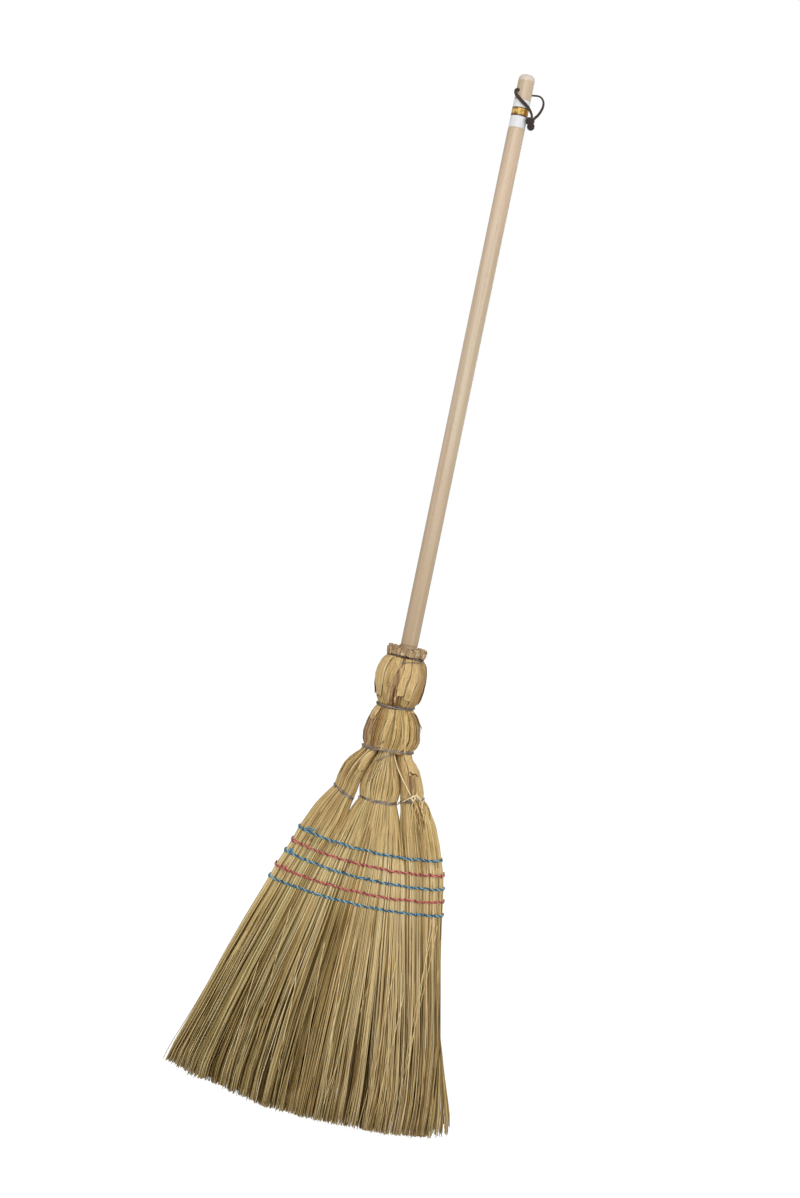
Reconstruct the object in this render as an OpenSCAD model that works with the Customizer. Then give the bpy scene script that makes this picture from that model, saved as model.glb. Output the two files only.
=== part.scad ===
// Household corn broom: a turned wooden handle bound into a wired neck of stalks,
// three wired bundles sewn flat with rows of twine, and loose bristles below them.
// Heights are measured up from the lowest bristle tips and the front is -Y.
// The origin is on the handle's axis, where a wall clip grips it.

/* [Handle] */
// Length of the whole broom, from bristle tips to handle top
total_length = 1360; // [1250:10:1450]
// Diameter of the handle along its grip
handle_d = 22; // [21:0.25:22.5]
// Diameter of the slimmer end that carries the label
end_d = 21.2; // [19:0.2:21.4]
// Radius of the rounded edge at the handle's top
top_round = 6.5; // [1:0.5:9]
// Distance from the handle's top down to the wall-clip point
clip_drop = 100; // [90:5:300]
// Height where the handle goes into the neck
neck_top = 618; // [618:1:619]
// Length of the handle hidden inside the neck
spigot_len = 130; // [60:5:130]
// Diameter of the spigot inside the neck
spigot_d = 20.6; // [16:0.2:20.6]

/* [Label] */
// Distance from the handle's top down to the paper label
label_drop = 34; // [32:1:36]
// Length of the paper label
label_len = 35.5; // [34:0.5:37]
// Thickness of the paper label
label_t = 0.2; // [0.1:0.05:0.2]
// Length of the coloured band around the label
band_len = 11.2; // [6:0.2:14]
// Distance from the label's top down to the band
band_drop = 9.8; // [4:0.2:14]

/* [Hang loop] */
// Distance from the handle's top down to the lace hole
hole_drop = 22.5; // [22:0.5:24]
// Diameter of the lace hole
hole_d = 5; // [4:0.1:6]
// Turn of the lace hole about the handle's axis, in degrees
hole_turn = 40; // [38:1:42]
// Diameter of the lace
lace_d = 2.4; // [1.6:0.1:2.4]

/* [Wire and twine] */
// Diameter of the binding wire
wire_d = 1.2; // [0.8:0.1:1.4]
// Diameter of the stitching twine
twine_d = 2.2; // [1.2:0.1:2.4]
// Gap between a wire or twine and what it is wrapped around
wrap_gap = 0.2; // [0.05:0.05:0.4]

/* [Bristles] */
// Height of the line that the loose bristles bend about
flex_height = 268; // [262:1:270]
// Radius of the rounded root that the loose bristles turn on
root_r = 16; // [15:0.5:16.5]
// Gap between the loose bristles' root and the sewn fan
root_gap = 0.4; // [0.3:0.1:1]
// Gap between neighbouring bundles
bundle_gap = 0.3; // [0.1:0.1:0.6]

/* [Hidden] */
$fn = 64;

clip_height = total_length - clip_drop;
label_top = total_length - label_drop;
label_bottom = label_top - label_len;
hole_height = total_length - hole_drop;
handle_r = handle_d / 2;
end_r = end_d / 2;
spigot_r = spigot_d / 2;
shoulder = 2;      // height of each step where the handle changes diameter
loft_sides = 24;   // points around a lofted section
wire_sides = 6;    // sides of a wire's section
ring_points = 24;  // points along one turn of wire
cord_sides = 8;    // sides of a lace, straw or twine section
wire_pitch = wire_d + 0.1;

// Sections of the neck: [height, half width, half depth, middle x], from the top down.
// CORE is the inner stalks, and NECK is the outside of the sheaths laid over them.
CORE = [[603.8, 23.4, 21.6, -1.6], [600, 23.4, 21.6, -1.6], [588, 26.5, 23.5, -1.8],
    [575, 28.7, 25, -2], [556, 27, 24, -1.7], [543, 24, 21.8, -1.2], [535, 24, 21.8, -1.2],
    [522, 28, 24.5, 0.4], [503, 33, 26, 1.6], [490, 31, 24.4, 0.8], [485.5, 29.5, 23.2, 0]];
NECK = [[600.6, 25.6, 23.8, -1.6], [594, 29, 26.2, -1.7], [585, 31.6, 28.2, -1.9],
    [575, 32.7, 29, -2], [562, 31.6, 28.2, -1.9], [550, 28.6, 26.2, -1.5],
    [541.4, 26, 24, -1.2], [535.4, 26, 24, -1.2], [528, 30, 27, 0], [515, 35, 29, 1.4],
    [500, 37.3, 30, 1.8], [491, 35.6, 28.2, 1.2], [484.6, 32.4, 25, 0]];

// Sections of a bundle: [height, left x, right x, half depth, squareness, slope].
// Squareness 2 is an oval, more is boxier; slope tips the section up to the right.
LEFT_BUNDLE = [[484.6, -31.6, -11.3, 14.4, 2, 0], [477, -32.8, -11.6, 14.4, 2, 0],
    [466, -43, -16.3, 18.6, 2.1, -0.1], [454, -51, -21.7, 18, 2.1, -0.2],
    [440, -54.5, -26.2, 17, 2, -0.35], [428, -57, -28, 15.4, 2, -0.42],
    [418.7, -57.2, -30.2, 14.6, 2, -0.46], [409, -64, -32, 15.4, 2.2, -0.42],
    [393, -76, -33.6, 16.6, 2.6, -0.2], [365, -90, -40.2, 17, 3.4, 0],
    [339, -98, -49.2, 16.4, 4, 0], [314, -109, -56.2, 15.6, 4, 0],
    [288, -117, -63.2, 15, 4, 0], [270, -123, -67.2, 15, 4, 0]];
CENTRE_BUNDLE = [[484.6, -11, 11, 22.6, 2.4, 0], [477, -11.3, 11.3, 22.4, 2.4, 0],
    [466, -15.3, 15.6, 21.4, 2.2, 0], [454, -20.1, 20.8, 20.6, 2.1, 0],
    [442, -24, 24.8, 20, 2, 0], [428, -24.4, 26.2, 18.4, 2, 0],
    [415.6, -21.8, 24.4, 17, 2, 0], [405, -27.4, 29, 17, 2.3, 0],
    [391, -32.5, 34.6, 17, 2.8, 0], [365, -39.9, 42, 17, 3.4, 0],
    [339, -48.9, 50, 16.4, 4, 0], [314, -55.9, 56, 15.6, 4, 0],
    [288, -62.9, 61, 15, 4, 0], [270, -66.9, 63.6, 15, 4, 0]];
RIGHT_BUNDLE = [[484.6, 11.3, 31.8, 14.4, 2, 0], [477, 11.6, 32.9, 14.4, 2, 0],
    [466, 16.5, 43.6, 18.6, 2.1, 0.08], [454, 22.2, 51.6, 18, 2.1, 0.16],
    [443, 26.3, 56, 17, 2, 0.26], [434, 27.8, 58.4, 15.6, 2, 0.32],
    [425, 30, 58, 14.8, 2, 0.34], [422.8, 30.4, 58.6, 14.8, 2, 0.34],
    [416, 32.6, 68, 15.4, 2.2, 0.32], [394, 35.4, 84, 16.6, 2.6, 0.16], [365, 42.3, 94, 17, 3.4, 0],
    [339, 50.3, 103, 16.4, 4, 0], [314, 56.3, 108, 15.6, 4, 0],
    [288, 61.3, 112, 15, 4, 0], [270, 63.9, 115, 15, 4, 0]];
LEFT_WIRE = 6;    // the section of LEFT_BUNDLE that its wire goes around
CENTRE_WIRE = 6;  // the same for CENTRE_BUNDLE
RIGHT_WIRE = 6;   // the same for RIGHT_BUNDLE

// The loose bristles: [height, left edge, left seam, right seam, right edge, half depth].
BRISTLES = [[264, -122, -67.5, 64, 114, 14.2], [240, -134, -75, 71, 120, 17],
    [186, -152, -89, 82, 131, 20], [122, -171, -103, 93, 144, 23], [59, -192, -112, 102, 164, 25],
    [40, -197, -114.5, 104, 170, 25]];
BRISTLE_SQUARENESS = 4;
// Outline of the tips: [x, height of the tips there].
TIP_LINE = [[-198, 38], [-165, 27], [-112, 16], [-72, 6], [-42, 0], [89, 0], [143, 6], [176, 16]];

// Rows of stitching: [height at the left edge, in the middle, at the right edge].
ROWS = [[364, 352, 358], [346, 333.5, 340], [331, 317, 323], [311, 298.5, 307],
    [295, 282.6, 290]];

// Route of the lace from the lace hole's middle: points are [x, y, height over the hole].
LACE_ROUTE = [[15.4, -9.4, -35], [16.3, -9.7, -31.4], [14.8, -10.4, -27.6],
    [12, -11.4, -24], [8, -12.5, -20.2], [3, -13.2, -16.8], [-2, -13.4, -13.4],
    [-6.4, -13, -9.8], [-9.8, -11.9, -6.6], [-11.4, -10.7, -3.5], [-11, -9.2, -0.4],
    [-8.6, -7.3, 0.9], [-5.4, -4.5, 0.3], [0, 0, 0], [6.1, 5.1, 0], [9.2, 7.5, -0.4],
    [12.6, 9.4, -1.6], [16.6, 9.4, -2.6], [20.6, 7.2, -2.9], [24.2, 3.8, -4.6],
    [26.8, 0, -8], [27.8, -3.6, -12.8], [26.8, -6.4, -18], [24, -8.2, -24],
    [20.4, -9.2, -29.6], [17.8, -9.4, -34]];
LACE_STEPS = 3;  // rings from one route point to the next
// The knot's two lumps: [x, y, height over the hole, radius].
KNOT_LUMPS = [[13.8, -9.8, -34.8, 3.8], [17.1, -9, -41.2, 4.3]];

// Route of the straw tied from the waist to the right bundle's wire.
STRAW_ROUTE = [[9.5, -24.6, 474], [16, -24, 464], [24, -23, 452], [31, -21.6, 441],
    [37, -20, 433], [41, -18.6, 428]];
straw_d = 1.8;

// Cut stalk ends around the handle: [ring radius, how many, stalk radius].
STUB_RINGS = [[14.7, 13, 3], [21.3, 18, 3.1]];
STUB_HEIGHTS = [9, 11.5, 10, 13, 8.5, 12];

// Nails that hold the neck to the handle: heights, length, radii of shank and head.
NAIL_HEIGHTS = [592, 549];
nail_len = 26;
nail_r = 0.9;
nail_head_r = 2.4;

// ---- points and surfaces ----

function unit(v) = v / norm(v);
function bulge(t, p) = sign(t) * pow(abs(t), 2 / p);

// One flat oval ring of points at height h, with superellipse power p.
function oval(h, left, right, depth, p = 2, slope = 0, sides = loft_sides) =
    let (mid = (left + right) / 2, half = (right - left) / 2)
    [for (i = [0:sides - 1]) let (a = 360 * i / sides, x = half * bulge(cos(a), p))
        [mid + x, depth * bulge(sin(a), p), h + slope * x]];
function neck_oval(s, grow = 0) =
    oval(s[0], s[3] - s[1] - grow, s[3] + s[1] + grow, s[2] + grow);
function bundle_oval(s, grow = 0, sides = loft_sides) =
    oval(s[0], s[1] - grow, s[2] + grow, s[3] + grow, s[4], s[5], sides);

// Triangles between consecutive rings of n points, each ring below the one before.
function wall_faces(rings, n) =
    [for (k = [0:rings - 2]) for (i = [0:n - 1]) let (j = (i + 1) % n, a = k * n, b = a + n)
        each [[b + i, a + i, a + j], [b + i, a + j, b + j]]];
// A cap in strips from the front points to the back ones, so it may curve along x.
function cap_faces(first, n) =
    [for (i = [0:n / 2 - 1]) let (a = first + i, b = a + 1, c = first + n - i - 1,
        d = first + (n - i) % n) each (i == 0 ? [[a, b, c]]
        : i == n / 2 - 1 ? [[a, b, d]] : [[a, b, c], [a, c, d]])];
function flipped(faces) = [for (f = faces) [f[2], f[1], f[0]]];

// A closed solid through rings that run from the top down.
module skin(rings) {
    n = len(rings[0]);
    last = (len(rings) - 1) * n;
    polyhedron(points = [for (r = rings) each r],
        faces = concat(wall_faces(len(rings), n), flipped(cap_faces(0, n)), cap_faces(last, n)));
}

// A round tube along a closed loop that goes around the vertical.
module hoop(loop, r, sides = wire_sides) {
    m = len(loop);
    rings = [for (k = [0:m - 1]) let (t = unit(loop[(k + 1) % m] - loop[(k + m - 1) % m]),
        u = unit(cross(t, [0, 0, 1])), v = cross(u, t))
        [for (i = [0:sides - 1]) let (a = 360 * i / sides) loop[k] + r * (cos(a) * u + sin(a) * v)]];
    polyhedron(points = [for (ring = rings) each ring],
        faces = [for (k = [0:m - 1]) for (i = [0:sides - 1])
            let (j = (i + 1) % sides, a = k * sides, b = ((k + 1) % m) * sides)
            each [[a + i, b + j, b + i], [a + i, a + j, b + j]]]);
}

// Smooth points along a route, with the given number of steps between its points.
function along(p0, p1, p2, p3, t) = 0.5 * (2 * p1 + (p2 - p0) * t
    + (2 * p0 - 5 * p1 + 4 * p2 - p3) * t * t + (3 * p1 - p0 - 3 * p2 + p3) * t * t * t);
function smooth(p, steps) = let (n = len(p)) [for (i = [0:n - 2]) for (s = [0:steps - 1])
    along(p[max(i - 1, 0)], p[i], p[i + 1], p[min(i + 2, n - 1)], s / steps), p[n - 1]];
// The side direction at each point of a path, carried along it without twisting.
function sides_along(tangents, k, u) = k == len(tangents) ? []
    : let (w = unit(u - (u * tangents[k]) * tangents[k]))
        concat([w], sides_along(tangents, k + 1, w));

// A round tube along an open path.
module tube(path, r, sides = cord_sides) {
    m = len(path);
    tangents = [for (k = [0:m - 1]) unit(path[min(k + 1, m - 1)] - path[max(k - 1, 0)])];
    across = sides_along(tangents, 0, [0.3, 1, 0.2]);
    ring_faces = [for (k = [0:m - 2]) for (i = [0:sides - 1])
        let (j = (i + 1) % sides, a = k * sides, b = a + sides)
        each [[a + i, b + j, b + i], [a + i, a + j, b + j]]];
    polyhedron(points = [for (k = [0:m - 1]) for (i = [0:sides - 1])
            let (a = 360 * i / sides, v = cross(across[k], tangents[k]))
            path[k] + r * (cos(a) * across[k] + sin(a) * v)],
        faces = concat(ring_faces, [[for (i = [0:sides - 1]) sides - 1 - i]],
            [[for (i = [0:sides - 1]) (m - 1) * sides + i]]));
}

// Moves a shape measured from the bristle tips into the part's frame.
module placed() { translate([0, 0, -clip_height]) children(); }

// ---- handle, label and hang loop ----

module lace_hole() {
    translate([0, 0, hole_height]) rotate([0, 90, hole_turn])
        cylinder(r = hole_d / 2, h = 3 * handle_d, center = true);
}

module handle() {
    color("burlywood") placed() difference() {
        rotate_extrude() {
            // spigot, grip and slimmer end, joined by short sloping shoulders
            polygon([[0, neck_top - spigot_len], [spigot_r - 5, neck_top - spigot_len],
                [spigot_r, neck_top - spigot_len + 30], [spigot_r, neck_top - shoulder],
                [handle_r, neck_top], [handle_r, label_bottom - shoulder], [end_r, label_bottom],
                [end_r, total_length - top_round], [end_r - top_round, total_length],
                [0, total_length]]);
            translate([end_r - top_round, total_length - top_round]) intersection() {
                circle(r = top_round);
                square(top_round);
            }
        }
        lace_hole();
    }
}

module anchor_nails() {
    color("dimgray") placed() for (h = NAIL_HEIGHTS) {
        back = h == NAIL_HEIGHTS[0] ? 27.6 : 26.8;
        translate([0, back, h]) rotate([90, 0, 0]) {
            cylinder(r = nail_r, h = nail_len);
            translate([0, 0, -1]) cylinder(r = nail_head_r, h = 1);
        }
    }
}

module sleeve(bottom, length, inner, thick) {
    translate([0, 0, bottom]) difference() {
        cylinder(r = inner + thick, h = length);
        translate([0, 0, -1]) cylinder(r = inner, h = length + 2);
    }
}

module label_sleeve() {
    color("white") placed() sleeve(label_bottom, label_len, end_r, label_t);
}

module label_band() {
    color("gold") placed()
        sleeve(label_top - band_drop - band_len, band_len, end_r + label_t, label_t / 2);
}

module hang_lace() {
    color("saddlebrown") placed() translate([0, 0, hole_height])
        tube(smooth(LACE_ROUTE, LACE_STEPS), lace_d / 2);
}

module lace_knot() {
    color("saddlebrown") placed() translate([0, 0, hole_height])
        hull() for (k = KNOT_LUMPS) translate([k[0], k[1], k[2]]) sphere(r = k[3], $fn = 20);
}

// ---- neck ----

module stalk_stubs() {
    color("tan") placed() translate([-0.8, 0, CORE[0][0]]) {
        difference() {
            cylinder(r = 23.2, h = 2);
            translate([0.8, 0, -1]) cylinder(r = handle_r + 0.6, h = 4);
        }
        for (ring = STUB_RINGS) for (i = [0:ring[1] - 1]) {
            tall = STUB_HEIGHTS[(i * 5 + ring[1]) % len(STUB_HEIGHTS)];
            rotate([0, 0, 360 * i / ring[1]]) translate([ring[0] + 0.4, 0, 0])
                cylinder(r = ring[2], h = tall, $fn = 24);
        }
    }
}

module core_bundle() {
    color("peru") placed() difference() {
        skin([for (s = CORE) neck_oval(s)]);
        // the handle's socket, with a cone for the spigot's tapered tip
        translate([0, 0, neck_top - spigot_len + 30]) cylinder(r = spigot_r + 0.1, h = 200);
        translate([0, 0, neck_top - spigot_len - 0.3])
            cylinder(r1 = spigot_r - 4.9, r2 = spigot_r + 0.1, h = 30.3);
    }
}

// Half of the sheath layer between two heights; side -1 is the front, 1 the back.
module sheath(top, bottom, side) {
    placed() difference() {
        skin([for (s = NECK) if (s[0] <= top && s[0] >= bottom) neck_oval(s)]);
        skin([for (s = CORE) neck_oval(s, wrap_gap)]);
        translate([-60, side < 0 ? -bundle_gap / 2 : bundle_gap / 2 - 100, bottom - 10])
            cube([120, 100, top - bottom + 20]);
    }
}

module upper_front_sheath() { color("burlywood") sheath(601, 541, -1); }
module upper_back_sheath() { color("burlywood") sheath(601, 541, 1); }
module lower_front_sheath() { color("goldenrod") sheath(536, 484, -1); }
module lower_back_sheath() { color("goldenrod") sheath(536, 484, 1); }

// Turns of wire around an oval, side by side about its height.
module winding(ring, turns) {
    for (t = [0:turns - 1]) translate([0, 0, (t - (turns - 1) / 2) * wire_pitch])
        hoop(ring, wire_d / 2);
}

function wire_loop(h, half_w, half_d, mid) = let (g = wire_d / 2 + wrap_gap)
    oval(h, mid - half_w - g, mid + half_w + g, half_d + g, 2, 0, ring_points);

module neck_wire() { color("slategray") placed() winding(wire_loop(602.4, 23.4, 21.6, -1.6), 2); }
module collar_wire() { color("slategray") placed() winding(wire_loop(538.4, 24, 21.8, -1.2), 3); }
module waist_wire() { color("slategray") placed() winding(wire_loop(480.8, 32.9, 23.2, 0.2), 3); }

// ---- bundles and stitching ----

// A bundle, hollowed at the bottom where the loose bristles' root turns.
module bundle(sections) {
    placed() difference() {
        skin([for (s = sections) bundle_oval(s)]);
        translate([0, 0, flex_height]) rotate([0, 90, 0])
            cylinder(r = root_r + root_gap, h = 400, center = true, $fn = 96);
    }
}

module left_bundle() { color("khaki") bundle(LEFT_BUNDLE); }
module centre_bundle() { color("darkkhaki") bundle(CENTRE_BUNDLE); }
module right_bundle() { color("khaki") bundle(RIGHT_BUNDLE); }

module bundle_wire(section) {
    color("slategray") placed()
        winding(bundle_oval(section, wire_d / 2 + wrap_gap + 0.3, ring_points), 2);
}

module left_wire() { bundle_wire(LEFT_BUNDLE[LEFT_WIRE]); }
module centre_wire() { bundle_wire(CENTRE_BUNDLE[CENTRE_WIRE]); }
module right_wire() { bundle_wire(RIGHT_BUNDLE[RIGHT_WIRE]); }

module straw_tie() { color("wheat") placed() tube(smooth(STRAW_ROUTE, 3), straw_d / 2); }

// The value in column c of a bundle's sections at height h.
function at_height(sections, c, h) =
    lookup(h, [for (i = [len(sections) - 1:-1:0]) [sections[i][0], sections[i][c]]]);

// A row of stitching around the sewn fan, which sags between its two edges.
module stitch_row(row) {
    grow = twine_d / 2 + wrap_gap;
    // each end follows its bundle's section at the row's height there
    left = [row[0], at_height(LEFT_BUNDLE, 1, row[0]), at_height(LEFT_BUNDLE, 2, row[0]),
        at_height(LEFT_BUNDLE, 3, row[1]) + 0.4, 4, 0];
    right = [row[2], at_height(RIGHT_BUNDLE, 1, row[2]), at_height(RIGHT_BUNDLE, 2, row[2]),
        at_height(LEFT_BUNDLE, 3, row[1]) + 0.4, 4, 0];
    l = bundle_oval(left, grow, 32);
    r = bundle_oval(right, grow, 32);
    flat = [for (i = [0:32 - 1]) if (i <= 8 || i >= 24) r[i] else l[i]];
    from_x = left[1];
    to_x = right[2];
    function sag(x) = let (t = (x - from_x) / (to_x - from_x), ends = row[0] + (row[2] - row[0]) * t)
        ends + ((row[1] - (row[0] + row[2]) / 2) * 4 * t * (1 - t));
    middle = [for (side = [1, -1]) [for (k = [1:6]) let (x = side * (40 - 80 * (k - 0.5) / 6))
        [x, side * (left[3] + grow), 0]]];
    loop = concat([for (i = [0:8]) flat[i]], middle[0], [for (i = [9:23]) l[i]], middle[1],
        [for (i = [24:31]) flat[i]]);
    color(row == ROWS[1] || row == ROWS[3] ? "indianred" : "steelblue") placed()
        hoop([for (p = loop) [p[0], p[1], sag(p[0])]], twine_d / 2, cord_sides);
}

module stitch_row_1() { stitch_row(ROWS[0]); }
module stitch_row_2() { stitch_row(ROWS[1]); }
module stitch_row_3() { stitch_row(ROWS[2]); }
module stitch_row_4() { stitch_row(ROWS[3]); }
module stitch_row_5() { stitch_row(ROWS[4]); }

// ---- loose bristles ----

// The bristles between two columns of BRISTLES, with the rounded root they turn on.
module loose_bristles(from_col, to_col) {
    inset_l = from_col == 1 ? 0 : bundle_gap / 2;
    inset_r = to_col == 4 ? 0 : bundle_gap / 2;
    placed() {
        body = [for (s = BRISTLES)
            oval(s[0], s[from_col] + inset_l, s[to_col] - inset_r, s[5], BRISTLE_SQUARENESS)];
        low = BRISTLES[len(BRISTLES) - 1];
        tips = [for (p = oval(0, low[from_col] + inset_l, low[to_col] - inset_r, low[5],
            BRISTLE_SQUARENESS)) [p[0], p[1], lookup(p[0], TIP_LINE)]];
        skin(concat([for (i = [0:len(body) - 2]) body[i]], [tips]));
        // the root stays inside its own seams from its axis down to its lowest point
        low_h = flex_height - root_r;
        from_x = max(BRISTLES[0][from_col], at_height(BRISTLES, from_col, low_h));
        to_x = min(BRISTLES[0][to_col], at_height(BRISTLES, to_col, low_h));
        root_l = from_x + inset_l + root_gap;
        root_len = to_x - inset_r - root_gap - root_l;
        translate([root_l, 0, flex_height]) rotate([0, 90, 0])
            cylinder(r = root_r, h = root_len, $fn = 96);
    }
}

module left_bristles() { color("darkkhaki") loose_bristles(1, 2); }
module centre_bristles() { color("khaki") loose_bristles(2, 3); }
module right_bristles() { color("darkkhaki") loose_bristles(3, 4); }

handle();
anchor_nails();
label_sleeve();
label_band();
hang_lace();
lace_knot();
stalk_stubs();
core_bundle();
upper_front_sheath();
upper_back_sheath();
lower_front_sheath();
lower_back_sheath();
neck_wire();
collar_wire();
waist_wire();
left_bundle();
centre_bundle();
right_bundle();
left_wire();
centre_wire();
right_wire();
straw_tie();
stitch_row_1();
stitch_row_2();
stitch_row_3();
stitch_row_4();
stitch_row_5();
left_bristles();
centre_bristles();
right_bristles();
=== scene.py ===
"""Looks for a corn broom: a wooden stick, a neck of broomcorn under leaf sheaths, three wired
bundles sewn flat with five rows of twine, loose bristles, and a lace through the stick's end.

Shapes are worked out in millimetres, with heights counted up from the bristle tips, and
turned into the frame's metres when their mesh is made."""
import math

import bpy
import numpy as np
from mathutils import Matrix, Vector


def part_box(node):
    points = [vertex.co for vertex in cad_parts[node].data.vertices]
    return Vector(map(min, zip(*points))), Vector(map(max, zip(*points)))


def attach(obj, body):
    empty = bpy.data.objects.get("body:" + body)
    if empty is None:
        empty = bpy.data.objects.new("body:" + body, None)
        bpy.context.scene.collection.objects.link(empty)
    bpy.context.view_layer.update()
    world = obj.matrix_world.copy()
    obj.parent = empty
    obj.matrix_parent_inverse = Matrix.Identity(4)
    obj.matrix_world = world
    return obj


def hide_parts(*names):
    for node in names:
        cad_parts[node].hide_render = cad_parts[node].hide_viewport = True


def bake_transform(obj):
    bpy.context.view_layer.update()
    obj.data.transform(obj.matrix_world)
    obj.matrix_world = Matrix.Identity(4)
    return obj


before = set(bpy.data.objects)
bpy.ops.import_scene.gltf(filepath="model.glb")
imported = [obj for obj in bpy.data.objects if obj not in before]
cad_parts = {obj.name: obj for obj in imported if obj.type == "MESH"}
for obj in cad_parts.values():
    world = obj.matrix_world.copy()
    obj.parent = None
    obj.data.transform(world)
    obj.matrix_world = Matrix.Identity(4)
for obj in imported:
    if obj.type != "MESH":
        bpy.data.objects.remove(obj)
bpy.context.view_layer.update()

rng = np.random.default_rng(7)

MM = 0.001
TOTAL_LENGTH = 1360.0
BASE_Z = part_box("handle")[1].z - TOTAL_LENGTH * MM  # the frame's z at the lowest bristle tips

HINGE_H = 268.0          # height of the hinge line, where the CAD's bundle nodes give way to its bristle nodes
FLEX_END_H = 20.0        # a height near the tips, below the hinge, worked out into the frame but not used
HOLE_H = 1337.5          # height of the hole for the lace
WAIST_H = 482.4          # height of the wire between the neck and the bundles
COLLAR_H = 538.8         # height of the wire between the neck's two bulges
FRONT = np.array([0.0, -1.0, 0.0])
UP = np.array([0.0, 0.0, 1.0])


def in_frame(points):
    """Millimetre points with heights over the tips, as the frame's metres."""
    return np.asarray(points, float) * MM + np.array([0, 0, BASE_Z])


def height_z(height):
    return BASE_Z + height * MM


def show(name, data):
    """A new object in the scene."""
    thing = bpy.data.objects.new(name, data)
    bpy.context.scene.collection.objects.link(thing)
    return thing


# ---- camera ----

CAMERA_PLACE = (-23.5, -2500, 673)
LENS = 58.9
LEAN = -11.75            # the camera's roll in degrees, which makes the stick lean right


def make_camera():
    data = bpy.data.cameras.new("camera")
    data.lens = LENS
    camera = show("camera", data)
    camera.location = in_frame(CAMERA_PLACE)
    camera.rotation_euler = (math.radians(90), math.radians(LEAN), 0)
    bpy.context.scene.camera = camera


make_camera()


# ---- meshes ----

def unit(v):
    return v / np.maximum(np.linalg.norm(v, axis=-1, keepdims=True), 1e-9)


def mix(a, b, t):
    return a + (b - a) * t


def smoothstep(x, start, end):
    t = np.clip((x - start) / (end - start), 0, 1)
    return t * t * (3 - 2 * t)


def smooth_path(points, steps):
    """A Catmull-Rom curve through points, with some steps from each to the next."""
    p = np.asarray(points, float)
    p = np.concatenate([p[:1], p, p[-1:]])
    t = (np.arange(steps) / steps)[:, None]
    out = []
    for p0, p1, p2, p3 in zip(p, p[1:], p[2:], p[3:]):
        out.append(0.5 * (2 * p1 + (p2 - p0) * t + (2 * p0 - 5 * p1 + 4 * p2 - p3) * t ** 2
                          + (3 * p1 - p0 - 3 * p2 + p3) * t ** 3))
    return np.concatenate(out + [p[-1:]])


def even_path(points, gap):
    """The same line with points a given distance apart."""
    steps = np.linalg.norm(np.diff(points, axis=0), axis=1)
    distance = np.concatenate([[0], np.cumsum(steps)])
    wanted = np.linspace(0, distance[-1], max(2, round(distance[-1] / gap) + 1))
    return np.stack([np.interp(wanted, distance, points[:, k]) for k in range(3)], axis=1)


def path_length(points):
    return float(np.linalg.norm(np.diff(points, axis=0), axis=1).sum())


def cap(first, k):
    """Faces that close a ring of k points in strips, the first ring's way round."""
    if k == 3:
        return np.array([[0, 1, 2]]) + first
    i = np.arange(k // 2 - 1)
    return np.stack([i, i + 1, k - 2 - i, k - 1 - i], axis=1) + first


def per_skin(value):
    """A number, one for each skin, or one for each ring, ready to spread over the points."""
    value = np.asarray(value, float)
    return value.reshape(value.shape + (1,) * (3 - value.ndim))


CELL_MARGIN = 0.08       # the part of a bake map's cell that is left free on each side


def ring_mesh(name, rings, look, tone=0.5, hue=0.5, along=None):
    """One mesh of closed skins. rings is [skin, ring, point, xyz] in millimetres, and each skin
    runs along its rings. tone and hue are numbers for each skin, which its material reads, and
    each skin has its own cell of the bake map."""
    n, m, k = rings.shape[:3]
    skin, ring, point = np.meshgrid(np.arange(n), np.arange(m - 1), np.arange(k), indexing="ij")
    after = (point + 1) % k
    here, below = (skin * m + ring) * k, (skin * m + ring + 1) * k
    walls = np.stack([here + point, below + point, below + after, here + after], -1).reshape(-1, 4)
    starts = np.arange(n) * m * k
    tops = np.concatenate([cap(s, k) for s in starts])
    ends = np.concatenate([cap(s + (m - 1) * k, k)[:, ::-1] for s in starts])
    groups = [walls, tops, ends]

    columns = math.ceil(math.sqrt(n))
    grid = np.array([columns, math.ceil(n / columns)])
    cell = np.stack([skin % columns, skin // columns], -1)[..., None, :]
    u = np.stack([point, point, point + 1, point + 1], -1) / k
    v = np.stack([ring, ring + 1, ring + 1, ring], -1) / (m - 1)
    inside = CELL_MARGIN + (1 - 2 * CELL_MARGIN) * np.stack([u, v], -1)
    wall_uv = ((cell + inside) / grid).reshape(-1, 2)

    def cap_uv(faces, v_end):
        which = faces[:, 0] // (m * k)
        place = np.stack([which % columns + 0.5, which // columns + v_end], -1)
        return np.repeat(place / grid, faces.shape[1], axis=0)

    uvs = np.concatenate([wall_uv, cap_uv(tops, CELL_MARGIN), cap_uv(ends, 1 - CELL_MARGIN)])

    mesh = bpy.data.meshes.new(name)
    points = in_frame(rings.reshape(-1, 3))
    mesh.vertices.add(len(points))
    mesh.vertices.foreach_set("co", points.astype(np.float32).ravel())
    mesh.loops.add(sum(g.size for g in groups))
    mesh.loops.foreach_set("vertex_index", np.concatenate([g.ravel() for g in groups]).astype(np.int32))
    sizes = np.concatenate([np.full(len(g), g.shape[1]) for g in groups])
    mesh.polygons.add(len(sizes))
    mesh.polygons.foreach_set("loop_start", (np.cumsum(sizes) - sizes).astype(np.int32))
    mesh.polygons.foreach_set("use_smooth", np.ones(len(sizes), bool))
    mesh.update(calc_edges=True)
    mesh.uv_layers.new(name="OFBake").data.foreach_set("uv", uvs.astype(np.float32).ravel())

    if along is None:
        along = np.linspace(0, 1, m)[None, :, None]
    marks = (per_skin(tone), per_skin(hue), along, np.zeros((n, m, k)))
    strand = np.stack(np.broadcast_arrays(*marks)[:3], -1)
    for attribute, values in (("strand", strand), ("rest", points)):
        layer = mesh.attributes.new(attribute, "FLOAT_VECTOR", "POINT")
        layer.data.foreach_set("vector", values.astype(np.float32).ravel())
    mesh.materials.append(MATERIALS[look])
    return show(name, mesh)


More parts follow.
